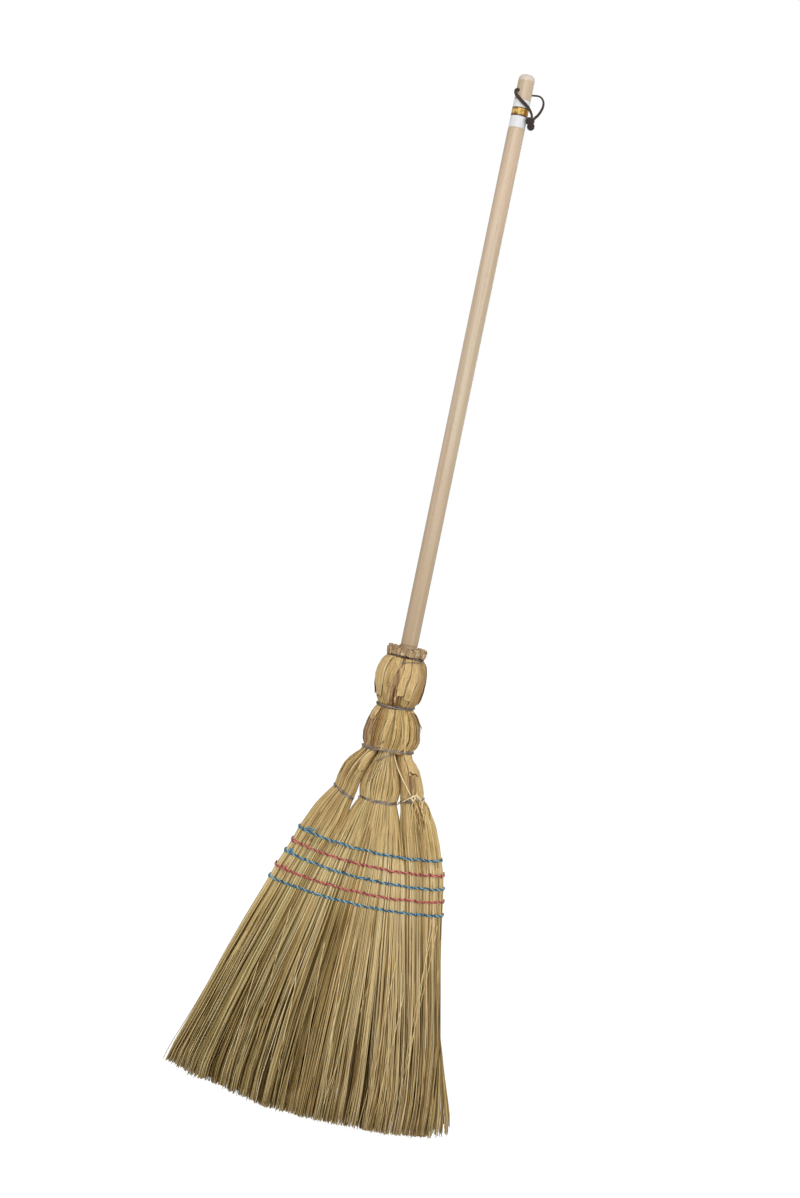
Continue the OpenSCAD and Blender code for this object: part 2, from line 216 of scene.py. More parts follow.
def riding(name, rings, look, slot, *replaced, body="broom", **marks):
    """A piece on its body, with the CAD nodes it stands for hidden. Its slot is not used."""
    piece = ring_mesh(name, rings, look, **marks)
    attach(piece, body)
    if replaced:
        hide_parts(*replaced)
    return piece


def tubes(paths, widths, thicks, facing=FRONT, sides=4, turn=0.0):
    """Rings around paths, [tube, ring, xyz]. widths go across, and thicks the way it faces."""
    along = unit(np.gradient(paths, axis=1))
    across = unit(np.cross(along, np.broadcast_to(facing, paths.shape)))
    out = np.cross(across, along)
    angle = 2 * np.pi * (np.arange(sides) + 0.5) / sides + turn
    wide = np.broadcast_to(widths, paths.shape[:2])[:, :, None, None] / 2
    thick = np.broadcast_to(thicks, paths.shape[:2])[:, :, None, None] / 2
    return (paths[:, :, None] + wide * np.cos(angle)[:, None] * across[:, :, None]
            + thick * np.sin(angle)[:, None] * out[:, :, None])


# ---- materials ----

# Palettes of sRGB colours, from the darkest tone to the palest.
GOLDEN = (78, 46, 18), (150, 118, 66), (204, 173, 113), (230, 204, 147), (246, 228, 182)
OLIVE = (62, 36, 10), (134, 106, 56), (194, 166, 109), (224, 199, 145), (246, 228, 184)
GREENISH = (74, 70, 36), (128, 124, 72), (188, 180, 124)
REDDISH = (84, 50, 34), (146, 100, 66), (206, 168, 122)
CUT = (104, 78, 52), (158, 130, 94), (190, 164, 126), (216, 194, 158), (238, 222, 192)
# The inner straw's dark palette is painted shade for the gaps between strands.
CORE_SHADE = (34, 20, 6), (60, 40, 16), (88, 64, 32), (112, 86, 48), (132, 106, 64)
LEAF = (96, 68, 48), (158, 124, 78), (200, 168, 112), (228, 200, 146), (244, 224, 180)
BROWN = (80, 54, 44), (136, 102, 74), (180, 144, 104), (214, 182, 138)
ORANGE = (112, 78, 44), (172, 132, 78), (208, 170, 108), (234, 204, 146)
WIRE = (52, 38, 32), (104, 90, 80), (150, 138, 128), (200, 192, 184)
STEEL = (80, 70, 70), (120, 116, 118), (164, 160, 164)
BLUE = (18, 44, 72), (50, 116, 152), (150, 202, 212)
RED = (110, 40, 42), (190, 82, 78), (228, 146, 134)
LACE = (24, 18, 15), (50, 40, 35), (86, 72, 62)
BEECH = (180, 155, 126), (196, 173, 146), (206, 185, 160), (214, 195, 172)
PAPER = (216, 214, 215), (226, 225, 227), (233, 233, 236)
GOLD = (132, 80, 32), (188, 138, 50), (208, 168, 72), (226, 200, 120)


def colour(red, green, blue):
    """An sRGB colour of 0 to 255, as linear values."""
    srgb = np.array([red, green, blue]) / 255
    linear = np.where(srgb <= 0.04045, srgb / 12.92, ((srgb + 0.055) / 1.055) ** 2.4)
    return (*linear.tolist(), 1.0)


class Nodes:
    """A material that is built up one node at a time."""

    def __init__(self, name, **values):
        self.material = bpy.data.materials.new(name)
        self.material.use_nodes = True
        self.tree = self.material.node_tree
        self.shader = self.tree.nodes["Principled BSDF"]
        for key, value in values.items():
            self.put(value, self.shader.inputs[key.replace("_", " ")])

    def add(self, kind, inputs, output=0, **settings):
        """Adds a node and returns one of its outputs. An input may be a value or another's output."""
        node = self.tree.nodes.new("ShaderNode" + kind)
        for key, value in settings.items():
            setattr(node, key, value)
        for key, value in inputs.items():
            self.put(value, node.inputs[key])
        return node.outputs[output]

    def put(self, value, socket):
        if isinstance(value, bpy.types.NodeSocket):
            self.tree.links.new(value, socket)
        else:
            socket.default_value = value

    def maths(self, operation, a, b, clamp=False):
        return self.add("Math", {0: a, 1: b}, operation=operation, use_clamp=clamp)

    def vary(self, value, noise, amount, clamp=False):
        """A value with some of a noise added to it, about the noise's usual middle."""
        change = self.maths("MULTIPLY", self.maths("SUBTRACT", noise, 0.5), amount)
        return self.maths("ADD", value, change, clamp)

    def spread(self, value, low, high, to_low=0.0, to_high=1.0):
        """A value from one range carried to another, kept inside it."""
        return self.add("MapRange", {"Value": value, "From Min": low, "From Max": high,
                                     "To Min": to_low, "To Max": to_high})

    def attribute(self, name):
        return self.add("Attribute", {}, output="Vector", attribute_name=name)

    def on_object(self):
        """The place on a CAD node, which has no marks of its own."""
        return self.add("TexCoord", {}, output="Object")

    def parts(self, vector):
        """The three numbers of a vector."""
        return self.add("SeparateXYZ", {0: vector}).node.outputs

    def noise(self, vector, scale, stretch=(1, 1, 1), detail=3.0, shift=None):
        """Noise over a vector in metres, with some features to the metre in each direction."""
        placed = self.add("VectorMath", {0: vector, 1: [scale * s for s in stretch]}, operation="MULTIPLY")
        if shift is not None:
            moved = self.add("VectorMath", {0: (37.0, 91.0, 53.0), "Scale": shift}, operation="SCALE")
            placed = self.add("VectorMath", {0: placed, 1: moved}, operation="ADD")
        return self.add("TexNoise", {"Vector": placed, "Scale": 1.0, "Detail": detail})

    def ramp(self, factor, palette):
        """A palette's colours, spread evenly from 0 to 1."""
        node = self.tree.nodes.new("ShaderNodeValToRGB")
        self.put(factor, node.inputs[0])
        elements = node.color_ramp.elements
        while len(elements) < len(palette):
            elements.new(0.5)
        for i, (element, shade) in enumerate(zip(elements, palette)):
            element.position = i / (len(palette) - 1)
            element.color = colour(*shade)
        return node.outputs[0]

    def tints(self, base, *changes):
        """A colour that turns to others. Each change is (value, low, high, amount, other): by that
        amount to the other colour, as the value goes from low to high."""
        for value, low, high, amount, other in changes:
            if isinstance(other, tuple):
                other = colour(*other)
            fac = self.spread(value, low, high, 0.0, amount)
            base = self.add("MixRGB", {"Fac": fac, "Color1": base, "Color2": other}, blend_type="MIX")
        return base

    def finish(self, base, wear, rough, relief, strength, depth, between=(0.3, 0.7)):
        """Sets the colour, a roughness that goes with wear from one value to another, and a bump
        of some depth in millimetres."""
        self.put(base, self.shader.inputs["Base Color"])
        self.put(self.spread(wear, *between, *rough), self.shader.inputs["Roughness"])
        bump = self.add("Bump", {"Height": relief, "Strength": strength, "Distance": depth * MM})
        self.put(bump, self.shader.inputs["Normal"])
        return self.material


def straw_material(name, upper, lower, features=10.0):
    """Straw: each strand has its own tone, which drifts along it, and the colours change from
    the upper palette to the lower one down the skirt."""
    nodes = Nodes(name, Specular_IOR_Level=0.12)
    tone, hue, along = nodes.parts(nodes.attribute("strand"))
    rest = nodes.attribute("rest")
    own = nodes.add("CombineXYZ", {0: nodes.maths("MULTIPLY", hue, 900.0),
                                   1: nodes.maths("MULTIPLY", along, features)})
    streaks = nodes.add("TexNoise", {"Vector": own, "Scale": 1.0, "Detail": 2.0})
    blotches = nodes.noise(rest, 45, (1, 1, 0.5), 3.0)
    shade = nodes.vary(nodes.vary(tone, streaks, 0.42), blotches, 0.16, clamp=True)
    down = nodes.parts(rest)[2]
    specks = nodes.noise(rest, 1500, (1, 1, 0.3), 1.0)
    base = nodes.tints(nodes.ramp(shade, upper),
                       (down, height_z(300), height_z(150), 1.0, nodes.ramp(shade, lower)),
                       (hue, 0.72, 0.95, 0.45, nodes.ramp(shade, GREENISH)),
                       (hue, 0.16, 0.02, 0.55, nodes.ramp(shade, REDDISH)),
                       (specks, 0.7, 0.76, 0.5, (92, 62, 40)))
    return nodes.finish(base, streaks, (0.5, 0.72), streaks, 0.22, 0.25)


def leaf_material():
    """Dry leaf sheath: ribs along it, freckles, pale edges that are a painted highlight, and a thin
    brown line at the very edge, partly a real brown edge and partly painted shadow. Its hue runs
    from brown through straw to orange."""
    nodes = Nodes("leaf", Specular_IOR_Level=0.25)
    tone, hue, edge = nodes.parts(nodes.attribute("strand"))
    rest = nodes.attribute("rest")
    ribs = nodes.noise(rest, 1000, (1, 1, 0.012), 2.0, hue)
    streaks = nodes.noise(rest, 300, (1, 1, 0.04), 2.0, hue)
    fade = nodes.noise(rest, 70, (1, 1, 0.6), 3.0, hue)
    freckles = nodes.noise(rest, 1300, (1, 1, 0.4), 2.0, hue)
    shade = nodes.vary(nodes.vary(nodes.vary(tone, ribs, 0.5), streaks, 0.5), fade, 0.5, clamp=True)
    mixed = nodes.vary(hue, streaks, 0.9)
    base = nodes.tints(nodes.ramp(shade, LEAF),
                       (mixed, 0.35, 0.1, 1.0, nodes.ramp(shade, BROWN)),
                       (mixed, 0.65, 0.9, 1.0, nodes.ramp(shade, ORANGE)),
                       (freckles, 0.6, 0.7, 0.55, (138, 98, 60)),
                       # The pale band near each edge is a painted highlight; the thin dark line at the very
                       # edge is partly a real brown edge and partly painted shadow.
                       (edge, 0.6, 0.85, 0.35, (232, 208, 158)),
                       (edge, 0.9, 1.0, 0.85, (78, 52, 32)))
    return nodes.finish(base, fade, (0.45, 0.68), ribs, 0.6, 0.35)


def wire_material():
    """Dull binding wire, browned in places."""
    nodes = Nodes("binding_wire", Metallic=0.3)
    tone, hue, _ = nodes.parts(nodes.attribute("strand"))
    spots = nodes.noise(nodes.attribute("rest"), 400, shift=hue)
    base = nodes.ramp(nodes.vary(spots, tone, 1.0, clamp=True), WIRE)
    return nodes.finish(base, spots, (0.34, 0.6), spots, 0.3, 0.15)


def steel_material():
    """Plain steel for the nails, dulled in patches."""
    nodes = Nodes("steel", Metallic=0.8)
    spots = nodes.noise(nodes.on_object(), 400)
    return nodes.finish(nodes.ramp(spots, STEEL), spots, (0.35, 0.6), spots, 0.3, 0.15)


def twine_material(name, palette):
    """Dyed twine: fuzzy plies that fade and darken along their length."""
    nodes = Nodes(name, Specular_IOR_Level=0.25, Sheen_Weight=0.35, Sheen_Roughness=0.5)
    tone, hue, _ = nodes.parts(nodes.attribute("strand"))
    rest = nodes.attribute("rest")
    fade = nodes.noise(rest, 110, (1, 1, 1), 2.0, hue)
    fibres = nodes.noise(rest, 2600, (0.5, 1, 1), 2.0, hue)
    shade = nodes.vary(nodes.vary(tone, fade, 1.1), fibres, 0.7, clamp=True)
    return nodes.finish(nodes.ramp(shade, palette), fibres, (0.7, 0.95), fibres, 0.6, 0.2)


def lace_material():
    """Dark brown braided lace with dusty specks. Its given tone is lighter on the braid's tops, a
    painted highlight, and darker in its grooves, painted shade.
    """
    nodes = Nodes("lace", Specular_IOR_Level=0.2, Sheen_Weight=0.3)
    tone = nodes.parts(nodes.attribute("strand"))[0]
    dust = nodes.noise(nodes.attribute("rest"), 900)
    shade = nodes.vary(tone, dust, 0.8, clamp=True)
    return nodes.finish(nodes.ramp(shade, LACE), dust, (0.75, 0.95), dust, 0.5, 0.15)


def wood_material():
    """Pale beech: long soft grain, short dark flecks and a worn satin surface. It is a little
    duller near the label and towards the neck, and paler on its end, where the bevel's paler cut
    wood carries a painted highlight."""
    nodes = Nodes("handle_wood", Specular_IOR_Level=0.45, Coat_Weight=0.3, Coat_Roughness=0.28)
    place = nodes.on_object()
    grain = nodes.noise(place, 160, (1, 1, 0.02), 4.0)
    bands = nodes.noise(place, 45, (1, 1, 0.035), 2.0)
    flecks = nodes.noise(place, 1400, (1, 1, 0.09), 1.0)
    tinge = nodes.noise(place, 30, (1, 1, 0.12), 3.0)
    shade = nodes.maths("ADD", nodes.maths("MULTIPLY", grain, 0.6), nodes.maths("MULTIPLY", bands, 0.4))
    up = nodes.parts(place)[2]
    base = nodes.tints(nodes.ramp(nodes.spread(shade, 0.36, 0.64), BEECH),
                       (tinge, 0.5, 0.68, 0.4, (208, 176, 144)),
                       (tinge, 0.48, 0.34, 0.4, (192, 182, 148)),
                       (flecks, 0.62, 0.72, 0.35, (160, 124, 88)),
                       (up, height_z(1240), height_z(1345), 0.4, (186, 164, 134)),
                       (up, height_z(880), height_z(640), 0.6, (176, 148, 114)),
                       # The grey-white end is the bevel's paler wood with a painted highlight on it.
                       (up, height_z(1350), height_z(1354), 0.6, (228, 220, 210)))
    return nodes.finish(base, grain, (0.36, 0.52), grain, 0.15, 0.2, between=(0.35, 0.65))


def paper_material():
    """The label's matt white paper, a little grey with handling."""
    nodes = Nodes("label_paper", Specular_IOR_Level=0.3)
    marks = nodes.noise(nodes.on_object(), 120, detail=4.0)
    fibres = nodes.noise(nodes.on_object(), 2500, detail=2.0)
    base = nodes.ramp(nodes.spread(marks, 0.3, 0.7), PAPER)
    return nodes.finish(base, marks, (0.55, 0.7), fibres, 0.05, 0.1)


def foil_material():
    """The label's gold band: blurred plain patches between two thin dark edges."""
    nodes = Nodes("label_foil", Metallic=0.2)
    place = nodes.on_object()
    patches = nodes.noise(place, 190, (1, 1, 1.4), 2.0)
    tinge = nodes.noise(place, 420, detail=1.0)
    low, high = (corner.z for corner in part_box("label_band"))
    up = nodes.parts(place)[2]
    to_edge = nodes.maths("MINIMUM", nodes.maths("SUBTRACT", up, low + 0.6 * MM),
                          nodes.maths("SUBTRACT", high, up))
    base = nodes.tints(nodes.ramp(nodes.spread(patches, 0.35, 0.65), GOLD),
                       (tinge, 0.55, 0.66, 0.6, (160, 84, 52)),
                       (tinge, 0.44, 0.34, 0.5, (130, 136, 60)),
                       (to_edge, 1.7 * MM, 1.2 * MM, 0.9, (66, 44, 26)))
    return nodes.finish(base, patches, (0.22, 0.36), patches, 0.1, 0.1)


MATERIALS = {
    "strands": straw_material("broomcorn", GOLDEN, OLIVE),
    "stalks": straw_material("stalk", GOLDEN, GOLDEN, features=8.0),
    "cut": straw_material("cut_stalk", CUT, CUT, features=6.0),
    # The inner straw's dark colour is painted shade.
    "core": straw_material("inner_straw_shade", CORE_SHADE, CORE_SHADE),
    "leaf": leaf_material(),
    "wire": wire_material(),
    "blue": twine_material("blue_twine", BLUE),
    "red": twine_material("red_twine", RED),
    "lace": lace_material(),
}


# ---- lace ----

# Points of the lace's route from the knot through the hole's middle: [x, y, height over the hole].
LACE_ROUTE = [[15.4, -9.4, -36], [16.0, -9.7, -32], [14.8, -10.4, -28],
              [12, -11.4, -24], [8, -12.5, -20.2], [3, -13.2, -16.8], [-2, -13.4, -13.4],
              [-6.2, -13, -10.2], [-9.2, -12.1, -7.2], [-10.7, -10.9, -4.1], [-10.6, -9.3, -0.9],
              [-8.5, -7.2, 0.7], [-5.4, -4.5, 0.3], [0, 0, 0], [6.1, 5.1, 0], [9.3, 7.4, 0.2],
              [12.8, 9.0, 1.0], [16.8, 8.8, 1.5], [20.8, 6.8, 0.8], [24.4, 3.4, -2.4],
              [26.8, -0.2, -7.6], [27.2, -3.6, -13.6], [25.9, -6.4, -20], [23.2, -8.2, -26.6],
              [19.6, -9.2, -31.8], [16.6, -9.4, -36]]
HOLE_POINT = 13            # the route's point in the middle of the hole
LACE_WIDTH = 2.6           # across the flat lace, without the ridges of its braid
LACE_THICK = 1.9
BRAID = 2.1                # length of one crossing of the braid
KNOT_GROWTH = 1.3          # how much thicker the lace is where the knot squeezes it
# Each run of the lace: its points, its mouth, its length in metres, the way its flat side faces,
# and how much wider than usual it lies at some shares of it from the hole.
LACE_RUNS = {"lace_left": [LACE_ROUTE[HOLE_POINT::-1], [-8.1, -6.8, 0.8], 0.062, [0.25, -1.0, 0.15],
                           ([0, 0.18, 0.32, 0.6, 0.85, 1], [1, 1.25, 1.6, 1.65, 1.1, 1])],
             "lace_right": [LACE_ROUTE[HOLE_POINT:], [8.1, 6.8, -0.2], 0.070, [0.1, -1.0, 0.4],
                            ([0, 0.35, 0.7, 1], [0.75, 0.8, 1.1, 1.3])]}
# The knot's lumps: [x, y, height over the hole, radius], and the axes of the turns around each.
KNOT_LUMPS = [[13.4, -10.4, -36.9, 5.0], [17.0, -9.6, -43.2, 5.1], [16.6, -9.6, -36.4, 4.1]]
KNOT_AXES = [[0.2, 1.0, 0.3], [1.0, 0.3, 0.5], [-0.6, 0.5, 1.0], [0.5, -0.9, 0.7]]


def braided(path, width, thick, facing, sides=16):
    """A braided lace along a path: two sets of ridges cross its surface."""
    along = unit(np.gradient(path, axis=0))
    side = unit(np.cross(along, facing))
    out = np.cross(along, side)
    gap = path_length(path) / (len(path) - 1)
    distance = np.arange(len(path))[:, None] * gap
    angle = 2 * np.pi * np.arange(sides)[None, :] / sides
    turn = 2 * np.pi * distance / (3 * BRAID)
    ridge = np.maximum(np.cos(2 * (angle + turn)), np.cos(2 * (angle - turn)))
    ends = np.minimum(1, 0.35 + np.minimum(distance, distance[::-1]) / 0.8)
    scale = ((1.12 + 0.06 * ridge) * ends)[:, :, None]
    ring = (path[:, None] + scale * (width / 2 * np.cos(angle)[:, :, None] * side[:, None]
                                     + thick / 2 * np.sin(angle)[:, :, None] * out[:, None]))
    # The tone is lighter on the braid's ridges and darker in the grooves between them: painted highlight and
    # painted shade.
    return ring[None], 0.5 + 0.3 * ridge[None]


def make_knot():
    """The knot: the lace goes round itself in lumps that run together."""
    t = np.linspace(0, 2 * np.pi * 0.97, 72)
    skins, tones = [], []
    for x, y, h, r in KNOT_LUMPS:
        for tip in KNOT_AXES:
            axis = unit(np.array(tip))
            first = unit(np.cross(axis, [0.1, 0.2, 1.0]))
            around = np.cos(t)[:, None] * first + np.sin(t)[:, None] * np.cross(axis, first)
            path = around * (r - 1.5) * [1, 0.85, 1.05] + [x, y, h + HOLE_H]
            rings, tone = braided(path, LACE_WIDTH * KNOT_GROWTH, LACE_THICK * KNOT_GROWTH, around)
            skins.append(rings)
            tones.append(tone - 0.12)
    return riding("lace_knot_braid", np.concatenate(skins), "lace", "lace", "lace_knot", body="hang_loop",
                  tone=np.concatenate(tones))


def make_lace():
    """The knot and the lace's two runs, each from the hole's middle to it."""
    knot = make_knot()
    for name, (points, mouth, length, flat, wider) in LACE_RUNS.items():
        path = even_path(smooth_path(np.array(points) + HOLE_H * UP, 12), 0.35)
        spread = np.interp(np.linspace(0, 1, len(path)), *wider)[:, None, None]
        rings, tone = braided(path, LACE_WIDTH * spread, LACE_THICK, flat)
        piece = riding(name, rings, "lace", "lace", "hang_lace", body="hang_loop", tone=tone)
        in_frame(mouth + HOLE_H * UP)
        in_frame(path[::4])


make_lace()


# ---- guides taken from the CAD nodes ----

def points_of(node):
    """A CAD node's points, in millimetres with heights over the tips."""
    points = np.array([v.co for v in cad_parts[node].data.vertices])
    return (points - [0, 0, BASE_Z]) / MM


def cut(nodes, height):
    """Lowest x, highest x and half depth where a level plane cuts some CAD nodes."""
    found = []
    for name in nodes:
        points = points_of(name)
        ends = np.array([e.vertices[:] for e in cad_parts[name].data.edges])
        a, b = points[ends[:, 0]], points[ends[:, 1]]
        crossed = (a[:, 2] - height) * (b[:, 2] - height) < 0
        a, b = a[crossed], b[crossed]
        found.append(a + (b - a) * ((height - a[:, 2]) / (b[:, 2] - a[:, 2]))[:, None])
    found = np.concatenate(found)
    return found[:, 0].min(), found[:, 0].max(), np.abs(found[:, 1]).max()


class Guide:
    """How far some CAD nodes reach left, right and deep, at any height. nodes says which ones
    at each height."""

    def __init__(self, nodes, heights):
        self.heights = np.array(sorted(heights), float)
        self.left, self.right, self.depth = np.array([cut(nodes(h), h) for h in self.heights]).T

    def __call__(self, height):
        return [np.interp(height, self.heights, side) for side in (self.left, self.right, self.depth)]


FAN_HEIGHTS = [483, 476, 470, 464, 458, 452, 446, 440, 434, 428, 423, 418, 413, 408, 402, 396,
               389, 378, 365, 352, 339, 326, 314, 300, 287, 240, 186, 122, 59, 42]
GUIDES = {name: Guide(lambda h, name=name: [name + ("_bundle" if h > HINGE_H else "_bristles")],
                      FAN_HEIGHTS) for name in ("left", "centre", "right")}


def draw_in_guides():
    """Draws the guides in a little, for the straw's own thickness and the wide right bundle's
    shoulders, and to the edge of the main mass: only stray bristles spread further."""
    right = GUIDES["right"]
    right.right = np.minimum(right.right, 144 + np.maximum(0, 122 - right.heights) * 0.09)
    GUIDES["left"].left += 1.0
    right.right -= 1.0
    for shoulder, half_height, less in ((449, 12, 2.4), (402, 20, 2.6)):
        right.right -= less * np.exp(-((right.heights - shoulder) / half_height) ** 4)


draw_in_guides()


def tip_heights():
    """The tips' line from the lowest corners of the CAD bristles: x and height."""
    corners = np.concatenate([points_of(name + "_bristles") for name in GUIDES])
    corners = corners[corners[:, 2] < 39]
    order = np.argsort(corners[:, 0])
    return corners[order, 0], corners[order, 2]


TIPS = tip_heights()


def share_across(x, left, right):
    """Where x is between two edges, from -1 to 1."""
    return (2 * x - left - right) / (right - left)


def bulge(across, power):
    """A section's depth at a place across it: 2 is an oval, and a higher power is boxier."""
    return (1 - np.abs(across) ** power) ** (1 / power)


def squareness(height):
    """How boxy a bundle's section is: an oval at its wire, and boxy in the sewn fan."""
    return np.interp(height, [365, 393, 416], [4, 2.6, 2])


FAN_POWER = 7            # how boxy the whole fan's section is


def fan_point(name, u, q, height):
    """The point of a bundle at u across it and q through it, from -1 to 1, at some heights.
    Below the bundles the three join in one flat fan with rounded edges."""
    left, right, depth = GUIDES[name](height)
    x = mix(left, right, (u + 1) / 2)
    own = bulge(np.clip(u, -0.995, 0.995), squareness(height))
    across = share_across(x, GUIDES["left"](height)[0], GUIDES["right"](height)[1])
    whole = bulge(np.clip(across, -0.998, 0.998), FAN_POWER)
    return x, q * depth * mix(own, whole, smoothstep(height, 395, 340))


# ---- broomcorn ----

def flexing(name, rings, look, *replaced, **marks):
    """A piece of straw from the sewn part to the loose tips, with its placing baked into its points and the
    CAD nodes it stands for hidden.
    """
    piece = ring_mesh(name, rings, look, **marks)
    in_frame((0, 0, HINGE_H))
    in_frame((0, 0, FLEX_END_H))
    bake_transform(piece)
    if replaced:
        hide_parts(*replaced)


# Darker and paler patches on the skirt's front: [x, height at its middle, half width, half height,
# change of tone]. The broad rows at x -110 and 110 darken the left and lighten the right to even out
# the key light from the left: painted shade and painted light.
TONE_PATCHES = [[-22, 235, 9, 60, -0.22], [-52, 160, 5, 26, -0.26], [-40, 120, 34, 70, -0.08],
          [20, 200, 30, 110, 0.06], [-110, 120, 50, 130, -0.1], [110, 120, 60, 160, 0.04],
          [80, 320, 42, 60, 0.17], [92, 228, 34, 60, 0.07], [-100, 235, 40, 60, 0.03]]
# Usual tone of the straw at some heights; the sewn part is the palest.
LEVELS = [[60, 120, 270, 300, 340, 372], [0.59, 0.61, 0.62, 0.77, 0.77, 0.6]]
FREE_H = 285             # below this height nothing holds the bristles
STALK_RINGS = np.array([484.5, 480, 475, 470, 463, 455, 446, 437, 429, 423, 418, 413, 408, 402, 395,
                        386, 375, 362, 349])


def strand_tone(x, height, front, spread=0.17):
    """Tones down each strand: random, alike in locks, with soft marks on the skirt's front."""
    lock = 0.04 * np.sin(0.83 * x[:, -1:] + 3 * np.sin(0.29 * x[:, -1:]))
    own = spread * rng.standard_normal((len(x), 1)) + lock
    tone = np.interp(height, *LEVELS) + own * mix(1, 0.36, smoothstep(height, 230, 290))
    for mark_x, mark_h, half_w, half_h, change in TONE_PATCHES:
        near = ((x - mark_x) / half_w) ** 2 + ((height - mark_h) / half_h) ** 2
        tone += front[:, None] * change * np.exp(-near)
    return np.clip(tone, 0.02, 1)


def layers(per_layer, count, step):
    """Places (u, q) for layers of strands on both faces, side by side with a little disorder."""
    place, u, q = np.arange(per_layer), [], []
    for face in (-1, 1):
        for layer in range(count):
            u.append(2 * (place + rng.uniform(-0.15, 1.15, per_layer)) / per_layer - 1)
            q.append(face * (1 - step * layer - 0.4 * step * rng.random(per_layer)))
    return np.clip(np.concatenate(u), -1, 1), np.concatenate(q)


def edge_places(side, count):
    """Places (u, q) for strands on a bundle's rounded edge, on one side of it."""
    return side * (1 - 0.06 * rng.random(count) ** 2), rng.uniform(-1, 1, count)


def facing_out(u, q, paths, lean=0.9):
    return np.stack(np.broadcast_arrays(lean * u[:, None], q[:, None], 0 * paths[..., 0]), -1)


def stalk_paths(name, u, q, end, drift):
    """Paths for stalks from the waist through a bundle's wire, sinking in the sewn part."""
    count = len(u)
    low = mix(STALK_RINGS[-1], end[:, None], np.linspace(0, 1, 6)[None, 1:])
    heights = np.concatenate([np.broadcast_to(STALK_RINGS, (count, len(STALK_RINGS))), low], 1)
    sink = 1 - 0.1 * smoothstep(heights, 375, end[:, None] + 10)
    middle = np.exp(-((heights - 450) / 22) ** 2)
    wander = rng.normal(0, drift, count)[:, None] * middle
    wander += rng.normal(0, drift, count)[:, None] * smoothstep(heights, 480, 440)
    x, y = fan_point(name, np.clip(u[:, None] + wander, -1, 1), q[:, None] * sink, heights)
    return np.stack([x, y, heights], -1)


def make_stalks(name, per_layer):
    """The bundle's flat stalks."""
    places = layers(per_layer, 3, 0.07), edge_places(-1, 26), edge_places(1, 26)
    u, q = np.concatenate(places, axis=1)
    count = len(u)
    paths = stalk_paths(name, u, q, rng.uniform(225, 345, count), 0.025)
    height = paths[..., 2]
    left, right, _ = GUIDES[name](height)
    crowding = np.clip((right - left) / 46, 0.55, 1)
    fade = mix(1, 0.3, smoothstep(height, 360, 300))
    width = rng.uniform(1.3, 2.7, count)[:, None] * crowding * fade
    rings = tubes(paths, width, width * 0.6, facing_out(u, q, paths))
    tone = strand_tone(paths[..., 0], height, np.zeros(count), 0.14) + 0.02
    hue = rng.random(count)
    if name == "left":
        brown = (u > -0.95) & (u < 0.3) & (q < 0)
        tone -= 0.2 * brown[:, None] * smoothstep(height, 424, 450)
        hue = np.where(brown, 0.25 * hue, hue)
    flexing(name + "_stalks", rings, "strands", name + "_bundle", tone=tone, hue=hue)


def make_fibres(name, count):
    """Finer fibres that cross the stalks."""
    u, q = layers(count, 1, 0.0)
    count = len(u)
    paths = stalk_paths(name, u, 1.03 * q, rng.uniform(330, 395, count), 0.08)
    width = rng.uniform(0.6, 1.1, count)[:, None] * mix(1, 0.4, smoothstep(paths[..., 2], 420, 360))
    rings = tubes(paths, width, width, facing_out(u, q, paths), sides=3)
    dark = rng.random(count) < 0.45
    tone = np.where(dark, rng.uniform(0.15, 0.45, count), rng.uniform(0.55, 0.95, count))
    flexing(name + "_fibres", rings, "strands", tone=tone, hue=rng.uniform(0.1, 0.8, count))


def tip_places(name, u, q):
    """The x and height where bristles end. Those nearer the front are more worn."""
    x = fan_point(name, u, q, np.full(len(u), 20.0))[0]
    return x, np.interp(x, *TIPS) + 1.5 + 4.5 * np.maximum(0, -q)


def freedom(heights):
    """How free bristles are to spread: 0 where they are sewn, and 1 at the tips."""
    return np.clip((FREE_H - heights) / FREE_H, 0, 1)


LOCK_WIDTH = 7
LOCK_LEANS = rng.normal(0, 3.6, 180)   # how far each lock of bristles leans sideways at its tips
MIDDLE_LOCK = 40                       # the number of the lock at x = 0
BACK_LOCKS = 90                        # how many numbers further on the back's locks are


